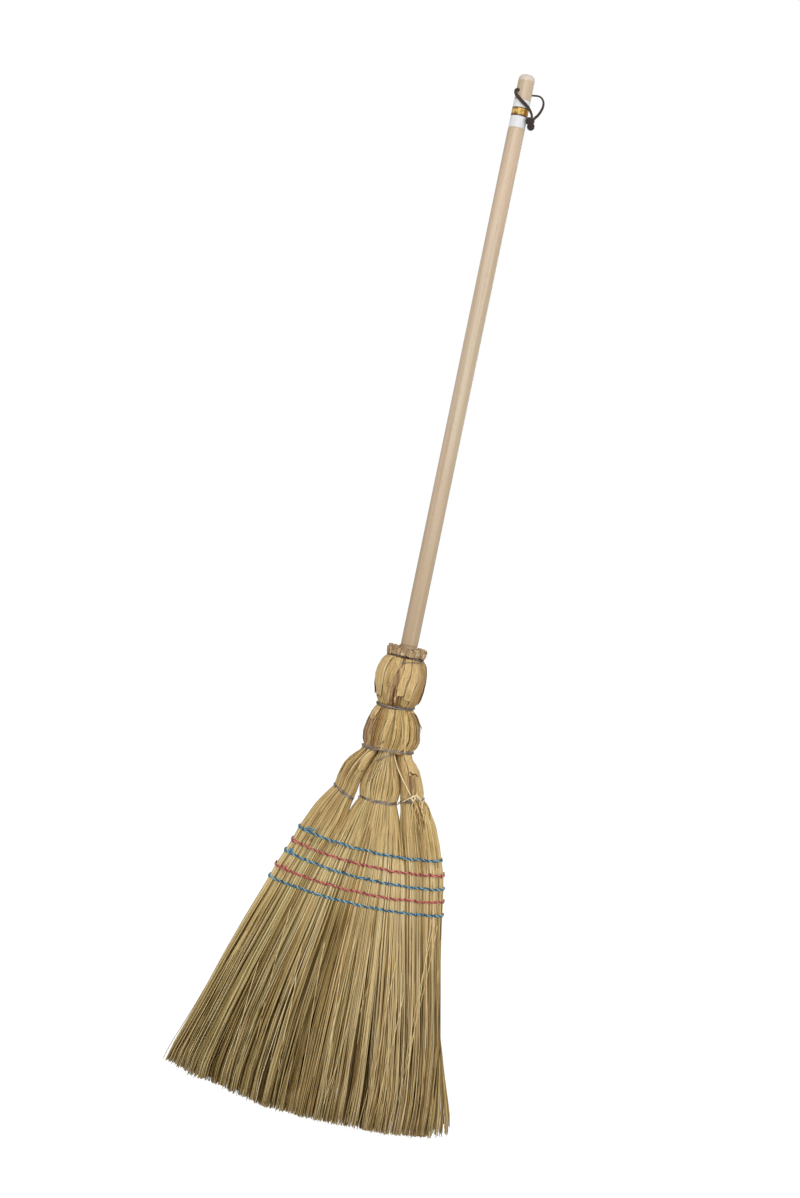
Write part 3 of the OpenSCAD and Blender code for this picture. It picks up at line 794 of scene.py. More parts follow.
def make_bristles(name, per_layer, edge):
    """The bristles on the outside, from inside the sewn part down to the ragged tips."""
    places = [layers(per_layer, 1, 0.0), layers(per_layer, 4, 0.09)]
    if edge:
        places.append(edge_places(edge, 60))
    u, q = np.concatenate(places, axis=1)
    count = len(u)
    fine = np.arange(count) < 2 * per_layer
    crossing = rng.random(count) < 0.06
    q = np.where(crossing | fine, q * 1.04, q)
    start = rng.uniform(340, 412, count)[:, None]
    end_x, end = tip_places(name, u, q)
    ragged = rng.random(count)
    lift = np.where(ragged < 0.85, 4 * rng.random(count), 12 * rng.random(count))
    lift = np.where(ragged > 0.96, 60 * rng.random(count), lift)
    heights = mix(start, (end + lift)[:, None], np.linspace(0, 1, 19)[None, :])
    free = freedom(heights)
    coming_out = smoothstep(heights, start, start - 25)
    x, y = fan_point(name, u[:, None], q[:, None] * mix(0.88, 1.0, coming_out), heights)

    lock = np.round(end_x / LOCK_WIDTH + 0.4 * np.sin(end_x / LOCK_WIDTH)).astype(int) + MIDDLE_LOCK
    lean = LOCK_LEANS[lock + BACK_LOCKS * (q > 0)] + 0.5 * (LOCK_WIDTH * (lock - MIDDLE_LOCK) - end_x)
    x += (lean + rng.normal(0, np.where(crossing, 12, 3.2), count))[:, None] * free ** 1.5
    bend = np.sin(heights / rng.uniform(25, 60, count)[:, None] + rng.uniform(0, 6, count)[:, None])
    x += bend * rng.uniform(0.0, 1.2, count)[:, None] * free
    x = np.clip(x, GUIDES["left"](heights)[0], GUIDES["right"](heights)[1])
    y += rng.normal(0, 1.0, count)[:, None] * free ** 1.3

    stem = rng.random(count) < 0.12
    full = np.where(fine, 1.15, rng.uniform(1.2, 1.9, count)) * np.where(stem, 1.4, 1)
    width = full[:, None] * mix(1, 0.72, free ** 2) * mix(0.35, 1, coming_out)
    paths = np.stack([x, y, heights], -1)
    rings = tubes(paths, width, width * 0.85, facing_out(u, q, paths, 0.3), sides=3, turn=math.pi / 6)
    contrast = np.where(rng.random(count) < 0.42, -0.38, 0.16) * fine + 0.12 * stem
    shadow = np.clip(1 - np.abs(q), 0, 0.4)[:, None] * mix(0.2, 1.2, free)
    tone = strand_tone(x, heights, q < -0.6) + contrast[:, None] - shadow
    hue = rng.random(count) + 0.2 * smoothstep(end_x, 0, -90) - 0.1 * smoothstep(end_x, 30, 110)
    flexing(name + "_strands", rings, "strands", name + "_bristles", tone=np.clip(tone, 0.02, 1),
            hue=np.clip(hue, 0.01, 0.99))


def make_inner(name, count):
    """Short inner bristles that fill the skirt between its faces near the tips; their dark tones are painted
    shade.
    """
    u, q = rng.uniform(-0.98, 0.98, count), rng.uniform(-0.72, 0.72, count)
    end = tip_places(name, u, q)[1] + 9 * rng.random(count) ** 2
    heights = mix(rng.uniform(150, 210, count)[:, None], end[:, None], np.linspace(0, 1, 7)[None])
    free = freedom(heights)
    x, y = fan_point(name, u[:, None], q[:, None], heights)
    x += rng.normal(0, 3, count)[:, None] * free ** 1.5
    paths = np.stack([x, y, heights], -1)
    rings = tubes(paths, rng.uniform(0.9, 1.6, count)[:, None] * mix(1, 0.75, free), 1.1, sides=3)
    # Dark tones: painted shade inside the skirt.
    flexing(name + "_inner", rings, "strands", tone=rng.uniform(0.12, 0.5, count), hue=rng.random(count))


def make_strays(count=120):
    """Bristles that spread out past the right edge, with gaps between them."""
    end_x = 138 + 37 * rng.random(count) ** 1.3
    end = np.interp(end_x, [142, 175], [8, 16]) + 14 * rng.random(count) ** 2
    t = np.linspace(0, 1, 15)[None]
    heights = mix(rng.uniform(215, 260, count)[:, None], end[:, None], t)
    x, _ = fan_point("right", np.full((count, 1), 0.93), np.zeros((count, 1)), heights)
    spread = smoothstep(heights, 160, -10) * (end_x - x[:, -1])[:, None] / smoothstep(end, 160, -10)[:, None]
    y = rng.uniform(-14, 14, count)[:, None] + 0 * x
    paths = np.stack([x + spread, y, heights], -1)
    rings = tubes(paths, mix(1.9, 1.4, t), mix(1.6, 1.1, t), sides=3)
    flexing("stray_bristles", rings, "strands", tone=rng.uniform(0.35, 0.8, count), hue=rng.random(count))


# Pale bristles that lie across the others on the front: [x and height at the top, the same at
# the bottom].
CROSSING = [[103, 305, 102, 52], [107, 296, 105, 70], [99, 300, 107, 60], [42, 262, 33, 150],
            [28.5, 250, 37, 112], [-3, 280, -9, 60], [8, 262, 3, 45], [-2, 240, 6, 42], [22, 230, 16, 50],
            [-28, 250, -24, 60], [-56, 230, -64, 70], [-80, 280, -88, 90], [66, 250, 66, 60],
            [2, 170, 12, 30], [24, 160, 12, 28], [-56, 190, -52, 60], [82, 200, 80, 40],
            [-104, 200, -114, 60]]


def make_crossing():
    ends = np.array(CROSSING, float)
    t = np.linspace(0, 1, 17)[None]
    x = mix(ends[:, :1], ends[:, 2:3], t) + 1.2 * np.sin(5 * t + ends[:, :1])
    heights = mix(ends[:, 1:2], ends[:, 3:], t)
    across = share_across(x, GUIDES["left"](heights)[0], GUIDES["right"](heights)[1])
    depth = GUIDES["centre"](heights)[2] * bulge(np.clip(across, -0.99, 0.99), FAN_POWER)
    y = -(1 - 0.2 * smoothstep(t, 0.14, 0)) * (depth + 0.9)
    width = 1.4 * (1 - 0.4 * t)
    rings = tubes(np.stack([x, y, heights], -1), width, width)
    flexing("crossing_bristles", rings, "strands", tone=rng.uniform(0.66, 0.88, len(ends)),
            hue=rng.uniform(0.2, 0.7, len(ends)))


CORE_RINGS = [484, 476, 468, 458, 447, 436, 426, 418, 410, 400, 388, 370, 340, 310, 280, 240, 200,
              160, 125, 90, 56]
CORE_SHRINK = [[56, 100, 200, 340, 484], [0.3, 0.5, 0.66, 0.74, 0.8]]
CORE_SIDES = 48


def make_core(name):
    """The straw in the middle of a bundle, seen only between the strands; its dark colour is painted shade.
    """
    angle = 2 * np.pi * np.arange(CORE_SIDES) / CORE_SIDES
    u = np.sign(np.cos(angle)) * np.abs(np.cos(angle)) ** 0.5
    q = np.sign(np.sin(angle)) * np.minimum(1, np.abs(np.sin(angle)) * 1.6)
    rings = []
    for height in CORE_RINGS:
        shrink = np.interp(height, *CORE_SHRINK)
        level = np.full(CORE_SIDES, float(height))
        rings.append(np.stack([*fan_point(name, u * mix(0.93, shrink, 0.3), q * shrink, level), level], -1))
    flexing(name + "_core", np.array(rings)[None], "core", tone=0.3)


# Strands for each bundle: [stalks in a layer, bristles in a layer, inner bristles, outer edge].
BUNDLES = {"left": (26, 44, 400, -1), "centre": (40, 108, 1000, 0), "right": (26, 36, 330, 1)}
for name, (stalks, bristles, inner, edge) in BUNDLES.items():
    make_core(name)
    make_stalks(name, stalks)
    make_fibres(name, 2 * stalks)
    make_bristles(name, bristles, edge)
    make_inner(name, inner)
make_strays()
make_crossing()


# ---- neck ----

NECK_NODES = ["upper_front_sheath", "upper_back_sheath", "lower_front_sheath", "lower_back_sheath",
              "core_bundle"]
NECK_HEIGHTS = [603, 600, 597, 594, 590, 585, 580, 575, 568, 562, 556, 550, 545, 540.5, 538.5, 536.5,
                532, 528, 521, 515, 507, 500, 495, 491, 487, 485]
NECK_WIRES = [602.4, COLLAR_H, WAIST_H]
NECK_CORE_RINGS = [606, 600, 594, 585, 575, 562, 550, 541, 535, 528, 515, 500, 491, 483]
STALK_DEPTH = 1.7        # how far the middle of the neck's stalks lies under the CAD's skin
NECK_FOOT_H = 484        # below this height the bundles are the broom's front
neck_guide = Guide(lambda height: NECK_NODES, NECK_HEIGHTS)


def ridges(height, places, half_height):
    """1 at each of some heights, fading to 0 around them."""
    return sum(np.exp(-((height - h) / half_height) ** 2) for h in places)


def neck_point(angle, height, lift=0.0):
    """A point on the neck's skin, drawn in tight under the wires; angle is in degrees, 0 at the
    front and 90 at the right."""
    height = np.asarray(height, float)
    left, right, depth = neck_guide(height)
    lift = lift * (1 - ridges(height, NECK_WIRES, 4.0)) - STALK_DEPTH
    a = np.radians(angle)
    x = (left + right) / 2 + ((right - left) / 2 + lift) * np.sin(a)
    return np.stack(np.broadcast_arrays(x, -(depth + lift) * np.cos(a), height), -1)


def make_neck_core():
    angle = np.linspace(0, 360, CORE_SIDES, endpoint=False)
    rings = np.array([neck_point(angle, np.full(CORE_SIDES, float(h)), -1.6) for h in NECK_CORE_RINGS])
    # The neck's middle is given a dark tone, painted shade for the gaps between its stalks.
    riding("neck_core", rings[None, :, ::-1], "stalks", "stalks", "core_bundle", tone=0.22)


def make_neck_stalks(name, top, bottom, count, dark_zones, replaced):
    """Stalks side by side around one bulge of the neck. dark_zones are angles of brown ones."""
    angle = np.arange(count) * 360 / count + rng.uniform(-0.8, 0.8, count)
    heights = np.broadcast_to(np.linspace(top, bottom, 15), (count, 15))
    wander = rng.normal(0, 0.8, count)[:, None] * np.sin(heights / 17 + rng.uniform(0, 6, count)[:, None])
    lift = rng.uniform(-1.0, 0.1, count)[:, None]
    paths = neck_point(angle[:, None] + wander, heights, lift)
    facing = neck_point(angle[:, None], heights, 50) - neck_point(angle[:, None], heights)
    facing[..., 2] = 0
    width = rng.uniform(1.9, 3.2, count)[:, None]
    tone = 0.5 + 0.11 * rng.standard_normal(count)
    hue = rng.random(count)
    for start, end, change in dark_zones:
        inside = ((angle - start) % 360) < (end - start)
        tone[inside] += change
        hue[inside] = np.minimum(hue[inside], 0.05)
    riding(name, tubes(paths, width, width * 0.7, facing), "stalks", "sheaths", replaced,
           tone=np.clip(tone, 0.04, 0.95), hue=hue)


# Leaf strips around a bulge or down a bundle: [left and right angle at the top, the same at the
# bottom, top height, bottom height, tone, hue, lift, raggedness of the lower end].
UPPER_LEAVES = [[-92, -37, -62, -46, 602, 548, 0.57, 0.5, 2.0, 2.0],
                [-44, -9, -39, -23, 602, 539, 0.44, 0.6, 1.0, 0],
                [-22, -4, -27, -24, 602, 562, 0.5, 0.6, 1.5, 0.5],
                [-12, 4, -32, -3, 602, 539, 0.42, 0.17, 0.7, 0],
                [4, 21, -5, 12, 602, 552, 0.56, 0.5, 1.7, 2.0],
                [20, 27, 10, 18, 602, 539, 0.42, 0.4, 0.6, 0],
                [23, 44, 15, 35, 602, 548, 0.5, 0.5, 1.4, 1.4],
                [43, 96, 34, 92, 602, 539, 0.34, 0.75, 0.9, 0],
                [90, 116, 88, 112, 602, 548, 0.52, 0.5, 1.6, 4],
                [110, 142, 106, 142, 602, 539, 0.44, 0.6, 0.8, 0],
                [136, 160, 138, 156, 602, 556, 0.6, 0.4, 1.9, 3],
                [160, 196, 156, 192, 602, 539, 0.46, 0.7, 1.0, 0],
                [192, 216, 190, 214, 602, 545, 0.56, 0.5, 1.7, 3],
                [214, 244, 216, 240, 602, 539, 0.38, 0.15, 0.8, 0],
                [243, 273, 240, 274, 602, 550, 0.54, 0.6, 1.3, 3]]
LOWER_LEAVES = [[-77, -42, -66, -49, 537, 517, 0.58, 0.5, 1.7, 1.4],
                [24, 36, 26, 34, 537, 482, 0.5, 0.6, 1.0, 0],
                [58, 90, 62, 92, 537, 484, 0.34, 0.6, 0.9, 1],
                [70, 86, 84, 92, 537, 517, 0.44, 0.6, 2.3, 1.6],
                [-92, -76, -90, -76, 528, 484, 0.36, 0.12, 0.8, 4],
                [-74, -46, -72, -44, 520, 483, 0.42, 0.14, 0.6, 4],
                [-14, -2, -20, -14, 537, 492, 0.44, 0.5, 0.7, 4],
                [96, 130, 100, 124, 537, 500, 0.46, 0.5, 1.0, 4],
                [134, 170, 140, 160, 537, 510, 0.54, 0.5, 1.3, 4],
                [176, 214, 180, 212, 537, 483, 0.46, 0.7, 0.8, 1],
                [222, 250, 226, 244, 537, 506, 0.56, 0.4, 1.4, 4]]
BUNDLE_LEAVES = {"right": [[-62, 2, -64, -26, 482, 425, 0.46, 0.55, 0.9, 0],
                           [8, 66, -4, 50, 482, 457, 0.52, 0.65, 1.1, 1.4],
                           [-16, 12, -20, 4, 459, 426, 0.38, 0.12, 0.7, 0],
                           [16, 40, 8, 30, 458, 427, 0.46, 0.3, 0.7, 2]],
                 "left": [[6, 52, 10, 48, 480, 450, 0.52, 0.5, 0.9, 3]],
                 "centre": [[-50, -34, -48, -38, 480, 440, 0.4, 0.3, 0.6, 2]]}
LEAF_ACROSS = 11         # points across a leaf strip, and rings along it
LEAF_ROWS = 26
LEAF_THICK = 0.4
LOOSE = 1.5              # a strip more ragged than this has a lower end that stands off


def bundle_skin(name):
    """A bundle's front skin in the same terms as the neck's."""
    def skin(angle, height, lift):
        a = np.radians(angle)
        x, y = fan_point(name, np.sin(a), -1.0, height)
        return np.stack(np.broadcast_arrays(x + 0.5 * lift * np.sin(a), y - lift * np.cos(a), height), -1)
    return skin


def leaf(skin, row):
    """One leaf strip's rings on a skin, and how near its edge each point is. Its lower end is torn."""
    top_left, top_right, low_left, low_right, top, bottom, _, _, lift, ragged = row
    share = np.linspace(0, 1, LEAF_ACROSS)
    torn = rng.uniform(-1, 1, LEAF_ACROSS) * ragged
    down = np.linspace(0, 1, LEAF_ROWS)[:, None]
    height = mix(top, bottom, down) + torn * down ** 4
    left, right = mix(top_left, low_left, down ** 1.4), mix(top_right, low_right, down ** 1.4)
    angle = mix(left, right, share) + 1.2 * np.sin(down * rng.uniform(6, 12) + rng.uniform(0, 6))
    curl = 0.5 * (2 * share - 1) ** 4 + 0.22 * np.sin(share * 17 + lift * 9)
    wave = 0.3 * np.sin(down * 7 + share * 3 + lift * 5)
    outside = lift + curl + wave + 1.1 * down ** 6 * (ragged > LOOSE)
    faces = [skin(angle, height, outside), skin(angle, height, outside - LEAF_THICK)[:, ::-1]]
    edge = np.abs(2 * np.concatenate([share, share[::-1]]) - 1)
    return np.concatenate(faces, axis=1), np.maximum(edge, down ** 8)


def make_leaves(name, table, skin, *replaced):
    rings, edges = zip(*(leaf(skin, row) for row in table))
    tone, hue = np.array(table)[:, 6:8].T
    riding(name, np.array(rings)[:, :, ::-1], "leaf", "sheaths", *replaced, tone=tone, hue=hue,
           along=np.array(edges)[:, :, ::-1])


make_neck_core()
make_neck_stalks("upper_stalks", 602, 537, 104, [(-32, 14, -0.2), (150, 175, -0.15)], "upper_back_sheath")
make_neck_stalks("lower_stalks", 538, 480, 112, [(-92, -28, 0.02), (120, 150, -0.12)], "lower_back_sheath")
make_leaves("upper_leaves", UPPER_LEAVES, neck_point, "upper_front_sheath")
make_leaves("lower_leaves", LOWER_LEAVES, neck_point, "lower_front_sheath")
for name, table in BUNDLE_LEAVES.items():
    make_leaves(name + "_leaves", table, bundle_skin(name))


STUB_FOOT_H = 603.5      # height where the stubs start, just over the neck wire
STUB_X = -0.8            # the ring of stubs sits a little left of the stick's middle
STUB_ALONG = np.array([0, 0.2, 0.5, 0.8, 0.95, 1.0])
STUB_SWELL = np.array([0.8, 1.0, 1.05, 1.0, 0.75, 0.3])


def ring_places(inner, outer, count):
    """Distances from the stick's middle, as many for each bit of area."""
    return np.sqrt(rng.uniform(inner ** 2, outer ** 2, count))


def make_stubs(count=430, sides=8):
    """The cut upper ends of the stalks, a crumbly ring around the stick."""
    ring = ring_places(12.8, 23.4, count)
    angle = rng.uniform(0, 2 * np.pi, count)
    uneven = 1.4 * np.sin(2.0 * angle + 0.6) + 1.1 * np.sin(5 * angle) + 0.7 * np.sin(11 * angle)
    top = 613.6 + uneven + rng.uniform(-3, 1.2, count) - 3.4 * smoothstep(ring, 20, 24)
    radius = rng.uniform(1.1, 2.2, count)
    outward = rng.uniform(0.0, 0.3, count) * smoothstep(ring, 14, 23)
    height = mix(STUB_FOOT_H, top[:, None], STUB_ALONG)
    spread = ring[:, None] + outward[:, None] * (height - STUB_FOOT_H) + rng.normal(0, 0.3, height.shape)
    bearing = angle[:, None] + rng.normal(0, 0.012, height.shape)
    paths = np.stack([spread * np.cos(bearing) + STUB_X, spread * np.sin(bearing) * 0.97, height], -1)
    around = 2 * np.pi * np.arange(sides) / sides
    lumps = 1 + 0.2 * rng.standard_normal((*height.shape, sides))
    reach = (radius[:, None] * STUB_SWELL)[..., None] * lumps
    rings = paths[:, :, None] + np.stack([reach * np.cos(around), reach * np.sin(around),
                                          0.4 * rng.standard_normal(reach.shape)], -1)
    riding("stalk_ends", rings[:, ::-1, ::-1], "cut", "stalks", "stalk_stubs",
           tone=np.clip(rng.normal(0.41, 0.14, count), 0.1, 0.85), hue=rng.uniform(0.02, 0.6, count))


def make_frays(count=700):
    """Frayed fibres on the stubs."""
    angle = rng.uniform(0, 2 * np.pi, count)
    ring = ring_places(12.5, 25.5, count)
    foot = np.stack([ring * np.cos(angle) + STUB_X, ring * np.sin(angle), rng.uniform(604.5, 613, count)], 1)
    lean = np.stack([np.cos(angle), np.sin(angle), rng.uniform(-0.6, 2.4, count)], 1)
    lean += rng.normal(0, 0.6, lean.shape)
    reach = rng.uniform(1.2, 3.6, count)[:, None, None] * np.linspace(0, 1, 4)[:, None]
    paths = foot[:, None] + unit(lean)[:, None] * reach
    paths += rng.normal(0, 0.2, paths.shape)
    rings = tubes(paths, 0.5 * np.array([1, 0.9, 0.7, 0.35]), 0.4, [1.0, 0.4, 0.1], sides=3)
    riding("frayed_ends", rings, "cut", "stalks", tone=rng.uniform(0.3, 0.9, count), hue=rng.random(count))


make_stubs()
make_frays()


# ---- binding wires ----

# Each winding: [radius, tone, turns, rise over the CAD wire, sag at the front, tilt, angle where
# it ends, tail as steps (x, y, height)].
WINDINGS = {"neck": (0.62, 0.2, 2, 0, 0.6, 0.0, 70, []),
            "collar": (0.76, 0.5, 3, 0.6, 2.2, 0.06, 200, [(4, 2, 1)]),
            "waist": (0.76, 0.5, 3, 2.0, 0.2, 0.03, 14, [(-8, -1.8, -6), (-20, 1.0, -15)]),
            "left": (0.72, 0.5, 3, 0, 0.5, -0.46, 75, []),
            "centre": (0.78, 0.5, 3, 1.8, 2.2, 0.0, -80, [(-3, 2, 1)]),
            "right": (0.7, 0.5, 3, 0, 0.3, 0.34, -70, [(-3, 1, 1)])}
POINTS_A_TURN = 56
CAD_WIRE_R = 0.6         # radius of the CAD's binding wires
WEAR_STEP = 9            # rings from one change of a wire's wear to the next


def box_of(node):
    """The middle and half the size of a CAD node's box, in millimetres with heights over the tips."""
    low, high = ((np.array(corner) - [0, 0, BASE_Z]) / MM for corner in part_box(node))
    return (low + high) / 2, (high - low) / 2


def make_wire(name, radius, tone, turns, rise, sag, tilt, end_angle, tail):
    """A wire wound some turns around the CAD wire's own oval, with its twisted-off tail."""
    middle, half = box_of(name + "_wire")
    half -= CAD_WIRE_R
    t = np.linspace(0, turns, POINTS_A_TURN * turns)
    angle = np.radians(end_angle) + 2 * np.pi * (t - turns)
    drift = (turns / 2 - t) * 2 * radius * 0.8
    uneven = 0.4 * np.sin(angle * 2 + 2.1 * t) + 0.25 * np.sin(angle * 5 + 3 * t)
    squeeze = -0.45 + 0.3 * np.sin(angle * 7 + t)
    x = middle[0] + (half[0] + squeeze) * np.sin(angle)
    y = middle[1] - (half[1] + squeeze) * np.cos(angle)
    height = middle[2] + rise + drift + uneven - sag * np.cos(angle) + tilt * half[0] * np.sin(angle)
    path = np.stack([x, y, height], 1)
    if tail:
        ends = path[-1] + np.array([(0, 0, 0), *tail], float)
        path = np.concatenate([path[:-1], smooth_path(ends, 8)])
    path = even_path(path, 1.0)[None]
    facing = path - [middle[0], middle[1], 0]
    facing[..., 2] = 0
    rings = tubes(path, 2 * radius, 2 * radius, facing + 1e-3, sides=8)
    place = np.arange(rings.shape[1])
    changes = WEAR_STEP * np.arange(len(place) // WEAR_STEP + 2)
    worn = np.interp(place, changes, rng.normal(0, 0.16, len(changes)))
    riding(name + "_winding", rings, "wire", "binding_wire", name + "_wire", tone=tone + worn[None],
           hue=rng.random())


for name, winding in WINDINGS.items():
    make_wire(name, *winding)


# ---- twine ----

STITCH = 15.0            # usual length of one stitch along a row
TWIST = 9                # length of one turn of the plies
PLY_R = 0.86             # radius of each of the twine's two plies
ROW_INSET = (2.2, 1.3)   # from the edges of a CAD row's box to the line the twine follows
ROW_COLOURS = ["blue", "red", "blue", "red", "blue"]


def row_loop(node):
    """The line that a row of stitching follows around the fan, every millimetre or so."""
    middle, half = box_of(node)
    points = points_of(node)
    bow = np.polyfit(points[:, 0], points[:, 2], 2)
    angle = np.linspace(-np.pi, np.pi, 1400) - np.pi / 2
    x = middle[0] + (half[0] - ROW_INSET[0]) * np.sign(np.cos(angle)) * np.abs(np.cos(angle)) ** 0.3
    y = (half[1] - ROW_INSET[1]) * np.sign(np.sin(angle)) * np.abs(np.sin(angle)) ** 0.3
    return even_path(np.stack([x, y, np.polyval(bow, x)], 1), 0.8)


def make_row(number, shade):
    """One row: two twisted plies, drawn in where each stitch goes through, and the stitches."""
    node = f"stitch_row_{number}"
    phase = number - 1
    path = row_loop(node)
    gap = path_length(path) / (len(path) - 1)
    distance = np.arange(len(path)) * gap
    out = unit((path - [path[:, 0].mean(), 0, 0]) * [0.02, 1, 0] + 1e-4)
    knots = np.cumsum(STITCH * rng.uniform(0.65, 1.35, int(distance[-1] / STITCH) + 20))
    knots = knots[knots < distance[-1] - 6]
    nearest = np.abs(distance[:, None] - knots[None]).min(1)
    drawn_in = np.exp(-(nearest / 1.4) ** 2)
    ends = np.concatenate([[0], knots, [distance[-1]]])
    rise, fall = rng.uniform(-0.2, 0.7, len(ends)), rng.uniform(-0.7, 0.2, len(ends))
    place = np.stack([ends - 0.6, ends + 0.6], 1).ravel()
    zigzag = np.interp(distance, place, np.stack([fall, rise], 1).ravel()) * out[:, 1] ** 2
    sway = 0.35 * np.sin(distance / 5.3) + 0.25 * np.sin(distance / 2.1 + phase)
    line = path + out * (0.45 - 0.9 * drawn_in)[:, None] + UP * (zigzag + sway)[:, None]
    uneven = 1.5 * np.sin(distance / 9) + 1.5 * np.sin(distance / 3.3 + phase)
    plies = []
    for side in (0, np.pi):
        twist = (2 * np.pi * (distance + uneven) / TWIST + side)[:, None]
        plies.append(line + PLY_R * 0.92 * (np.cos(twist) * UP + np.sin(twist) * out))
    rings = tubes(np.array(plies), 2 * PLY_R, 2 * PLY_R, out, sides=7)
    riding(f"twine_row_{number}", rings, shade, shade + "_twine", node, tone=[0.2, 0.78], hue=rng.random(2))

    places = np.searchsorted(distance, knots)
    bow = np.linspace(-1, 1, 9)
    paths = []
    for p in places:
        slant = np.gradient(path, axis=0)[p] / gap
        reach = rng.uniform(1.2, 3.2)
        paths.append(line[p] + np.outer(bow, UP * reach + slant * rng.uniform(-0.6, 2.4))
                     + np.outer(1.5 - 3.2 * bow ** 2, out[p]))
    width = rng.uniform(0.9, 1.5, (len(places), 1))
    rings = tubes(np.array(paths), width, 1.2, out[places][:, None, :], sides=6)
    riding(f"stitches_{number}", rings, shade, shade + "_twine", tone=rng.uniform(-0.1, 0.35, len(places)),
           hue=rng.random(len(places)))


for number, shade in enumerate(ROW_COLOURS, 1):
    make_row(number, shade)


# ---- loose ends that lie over the front ----

def front_point(x, height, lift):
    """The point on the broom's front at x and height, between the neck wire and the sewn part."""
    x, height = np.asarray(x, float), np.asarray(height, float)
    on_neck = height > NECK_FOOT_H
    left, right, depth = neck_guide(height)
    across = np.clip(share_across(x, left, right), -0.98, 0.98)
    reach = np.where(on_neck, (depth - 1.2) * bulge(across, 2), 0)
    for guide in GUIDES.values():
        left, right, depth = guide(height)
        own = bulge(np.clip(share_across(x, left, right), -1, 1), squareness(height))
        reach = np.maximum(reach, np.where(on_neck, 0, depth * own))
    over_wire = 1.9 * ridges(height, (COLLAR_H, WAIST_H), 2.6)
    return np.stack([x, -reach - lift - over_wire, height], -1)


def lying(points, lift, rings=60, taut=False):
    """A smooth path over the front through points [x, height], with evenly spaced rings. A taut
    one bridges the hollows that it crosses."""
    flat = smooth_path([(x, 0, h) for x, h in points], 12)
    path = front_point(flat[:, 0], flat[:, 2], lift)
    if taut:
        path[:, 1] = np.minimum(path[:, 1], np.linspace(path[0, 1], path[-1, 1], len(path)))
    path[1:-1, 1] = (path[:-2, 1] + path[1:-1, 1] + path[2:, 1]) / 3
    return even_path(path, path_length(path) / (rings - 1.0))[:rings]


# Strands that lie over the front: [points (x, height), width, lift, tone, hue].
OVER_STRAWS = [[[(14, 532), (17.5, 512), (20.5, 492), (22.5, 481), (25.5, 474), (29, 467)], 3.0, 0.9,
                0.62, 0.5],
               [[(-12.4, 487), (-18, 479), (-25, 471), (-31, 461)], 1.2, 1.2, 0.9, 0.5],
               [[(-8, 490), (-13.5, 481), (-21, 474), (-27.5, 467)], 0.9, 1.4, 0.8, 0.5],
               [[(-20, 482), (-29, 470), (-36, 458), (-41, 446)], 0.9, 0.9, 0.85, 0.5],
               [[(2, 484), (-1, 470), (-5, 452), (-6, 438)], 0.8, 0.7, 0.85, 0.5],
               [[(6, 478), (10, 462), (15, 446), (17, 436)], 0.8, 0.7, 0.9, 0.5],
               [[(-24, 530), (-26, 515), (-25, 500), (-22, 488)], 0.9, 0.6, 0.3, 0.02],
               [[(-2, 536), (-8, 518), (-11, 502), (-11, 488)], 0.8, 0.7, 0.85, 0.5],
               [[(1, 536), (3, 518), (5, 500), (4, 488)], 0.8, 0.7, 0.9, 0.5],
               [[(5, 536), (11, 520), (15, 502), (16, 488)], 0.9, 0.7, 0.8, 0.5],
               [[(33, 461.5), (36.5, 459), (40.5, 459.2), (44, 457)], 2.4, 1.4, 0.12, 0.0],
               [[(35, 458), (37, 448), (39, 438), (40.5, 431)], 1.3, 1.0, 0.3, 0.0],
               [[(40, 457), (43, 447), (45.5, 438), (46.5, 432)], 1.1, 1.0, 0.28, 0.02]]
# The straw tied from the waist wire to the right bundle's, and then its knot and its ends:
# [points (x, height), width].
TIE = [[[(9.5, 478), (16, 465), (24, 453), (33, 441.5), (41.8, 430)], 1.5],
       [[(45.5, 424.5), (42.5, 429), (45, 432.5), (50, 432.4), (54.5, 429.5), (60, 425.5)], 1.5],
       [[(42.8, 430.5), (38, 427), (32.5, 421.5), (26, 415.5)], 1.3],
       [[(41, 428), (43.5, 431.5), (47, 429), (44, 425.5)], 1.5],
       [[(47, 436), (50, 431), (56, 428.5), (63, 424.5)], 1.2]]
TIE_LIFT = 2.3
WIRE_TAIL = [(23, 601), (16, 598.6), (6, 597.2), (-5, 594.3)]  # the neck wire's end: [x, height]
# Loose ends of the twine at the left: [colour, points (x, height)].
TWINE_ENDS = {"blue": [[(-84, 362.5), (-79, 366), (-73, 366.5), (-67, 364)],
                       [(-83, 361), (-77, 363.5), (-72, 362)],
                       [(-97, 330), (-95.5, 334.5), (-92.5, 335), (-92, 331), (-95, 329.5)],
                       [(-98, 331), (-94, 333.5), (-90, 330.5)]],
              "red": [[(-96, 347.5), (-92.5, 346.5), (-89, 343.5)],
                      [(-96.5, 345), (-93, 347.8), (-90, 345.5)],
                      [(-102, 311.5), (-98, 309), (-94, 306.5)], [(-99.5, 313), (-98, 308.5), (-97, 301)],
                      [(-101.5, 306.5), (-97.5, 309.5), (-94.5, 312.5)]]}


def make_over_straws():
    paths = np.array([lying(row[0], row[2]) for row in OVER_STRAWS])
    width, _, tone, hue = np.array([row[1:] for row in OVER_STRAWS]).T
    taper = 1 - 0.7 * np.abs(np.linspace(-1, 1, paths.shape[1])) ** 6
    rings = tubes(paths, width[:, None] * taper, np.minimum(width, 1.1)[:, None] * taper, sides=6)
    riding("over_straws", rings, "stalks", "stalks", tone=tone, hue=hue)


def make_tie():
    paths = np.array([lying(points, TIE_LIFT, taut=i == 0) for i, (points, _) in enumerate(TIE)])
    width = np.array([row[1] for row in TIE])[:, None]
    riding("straw_tie_strand", tubes(paths, 1.35 * width, width, sides=6), "leaf", "straw", "straw_tie",
           tone=0.92, hue=0.5)


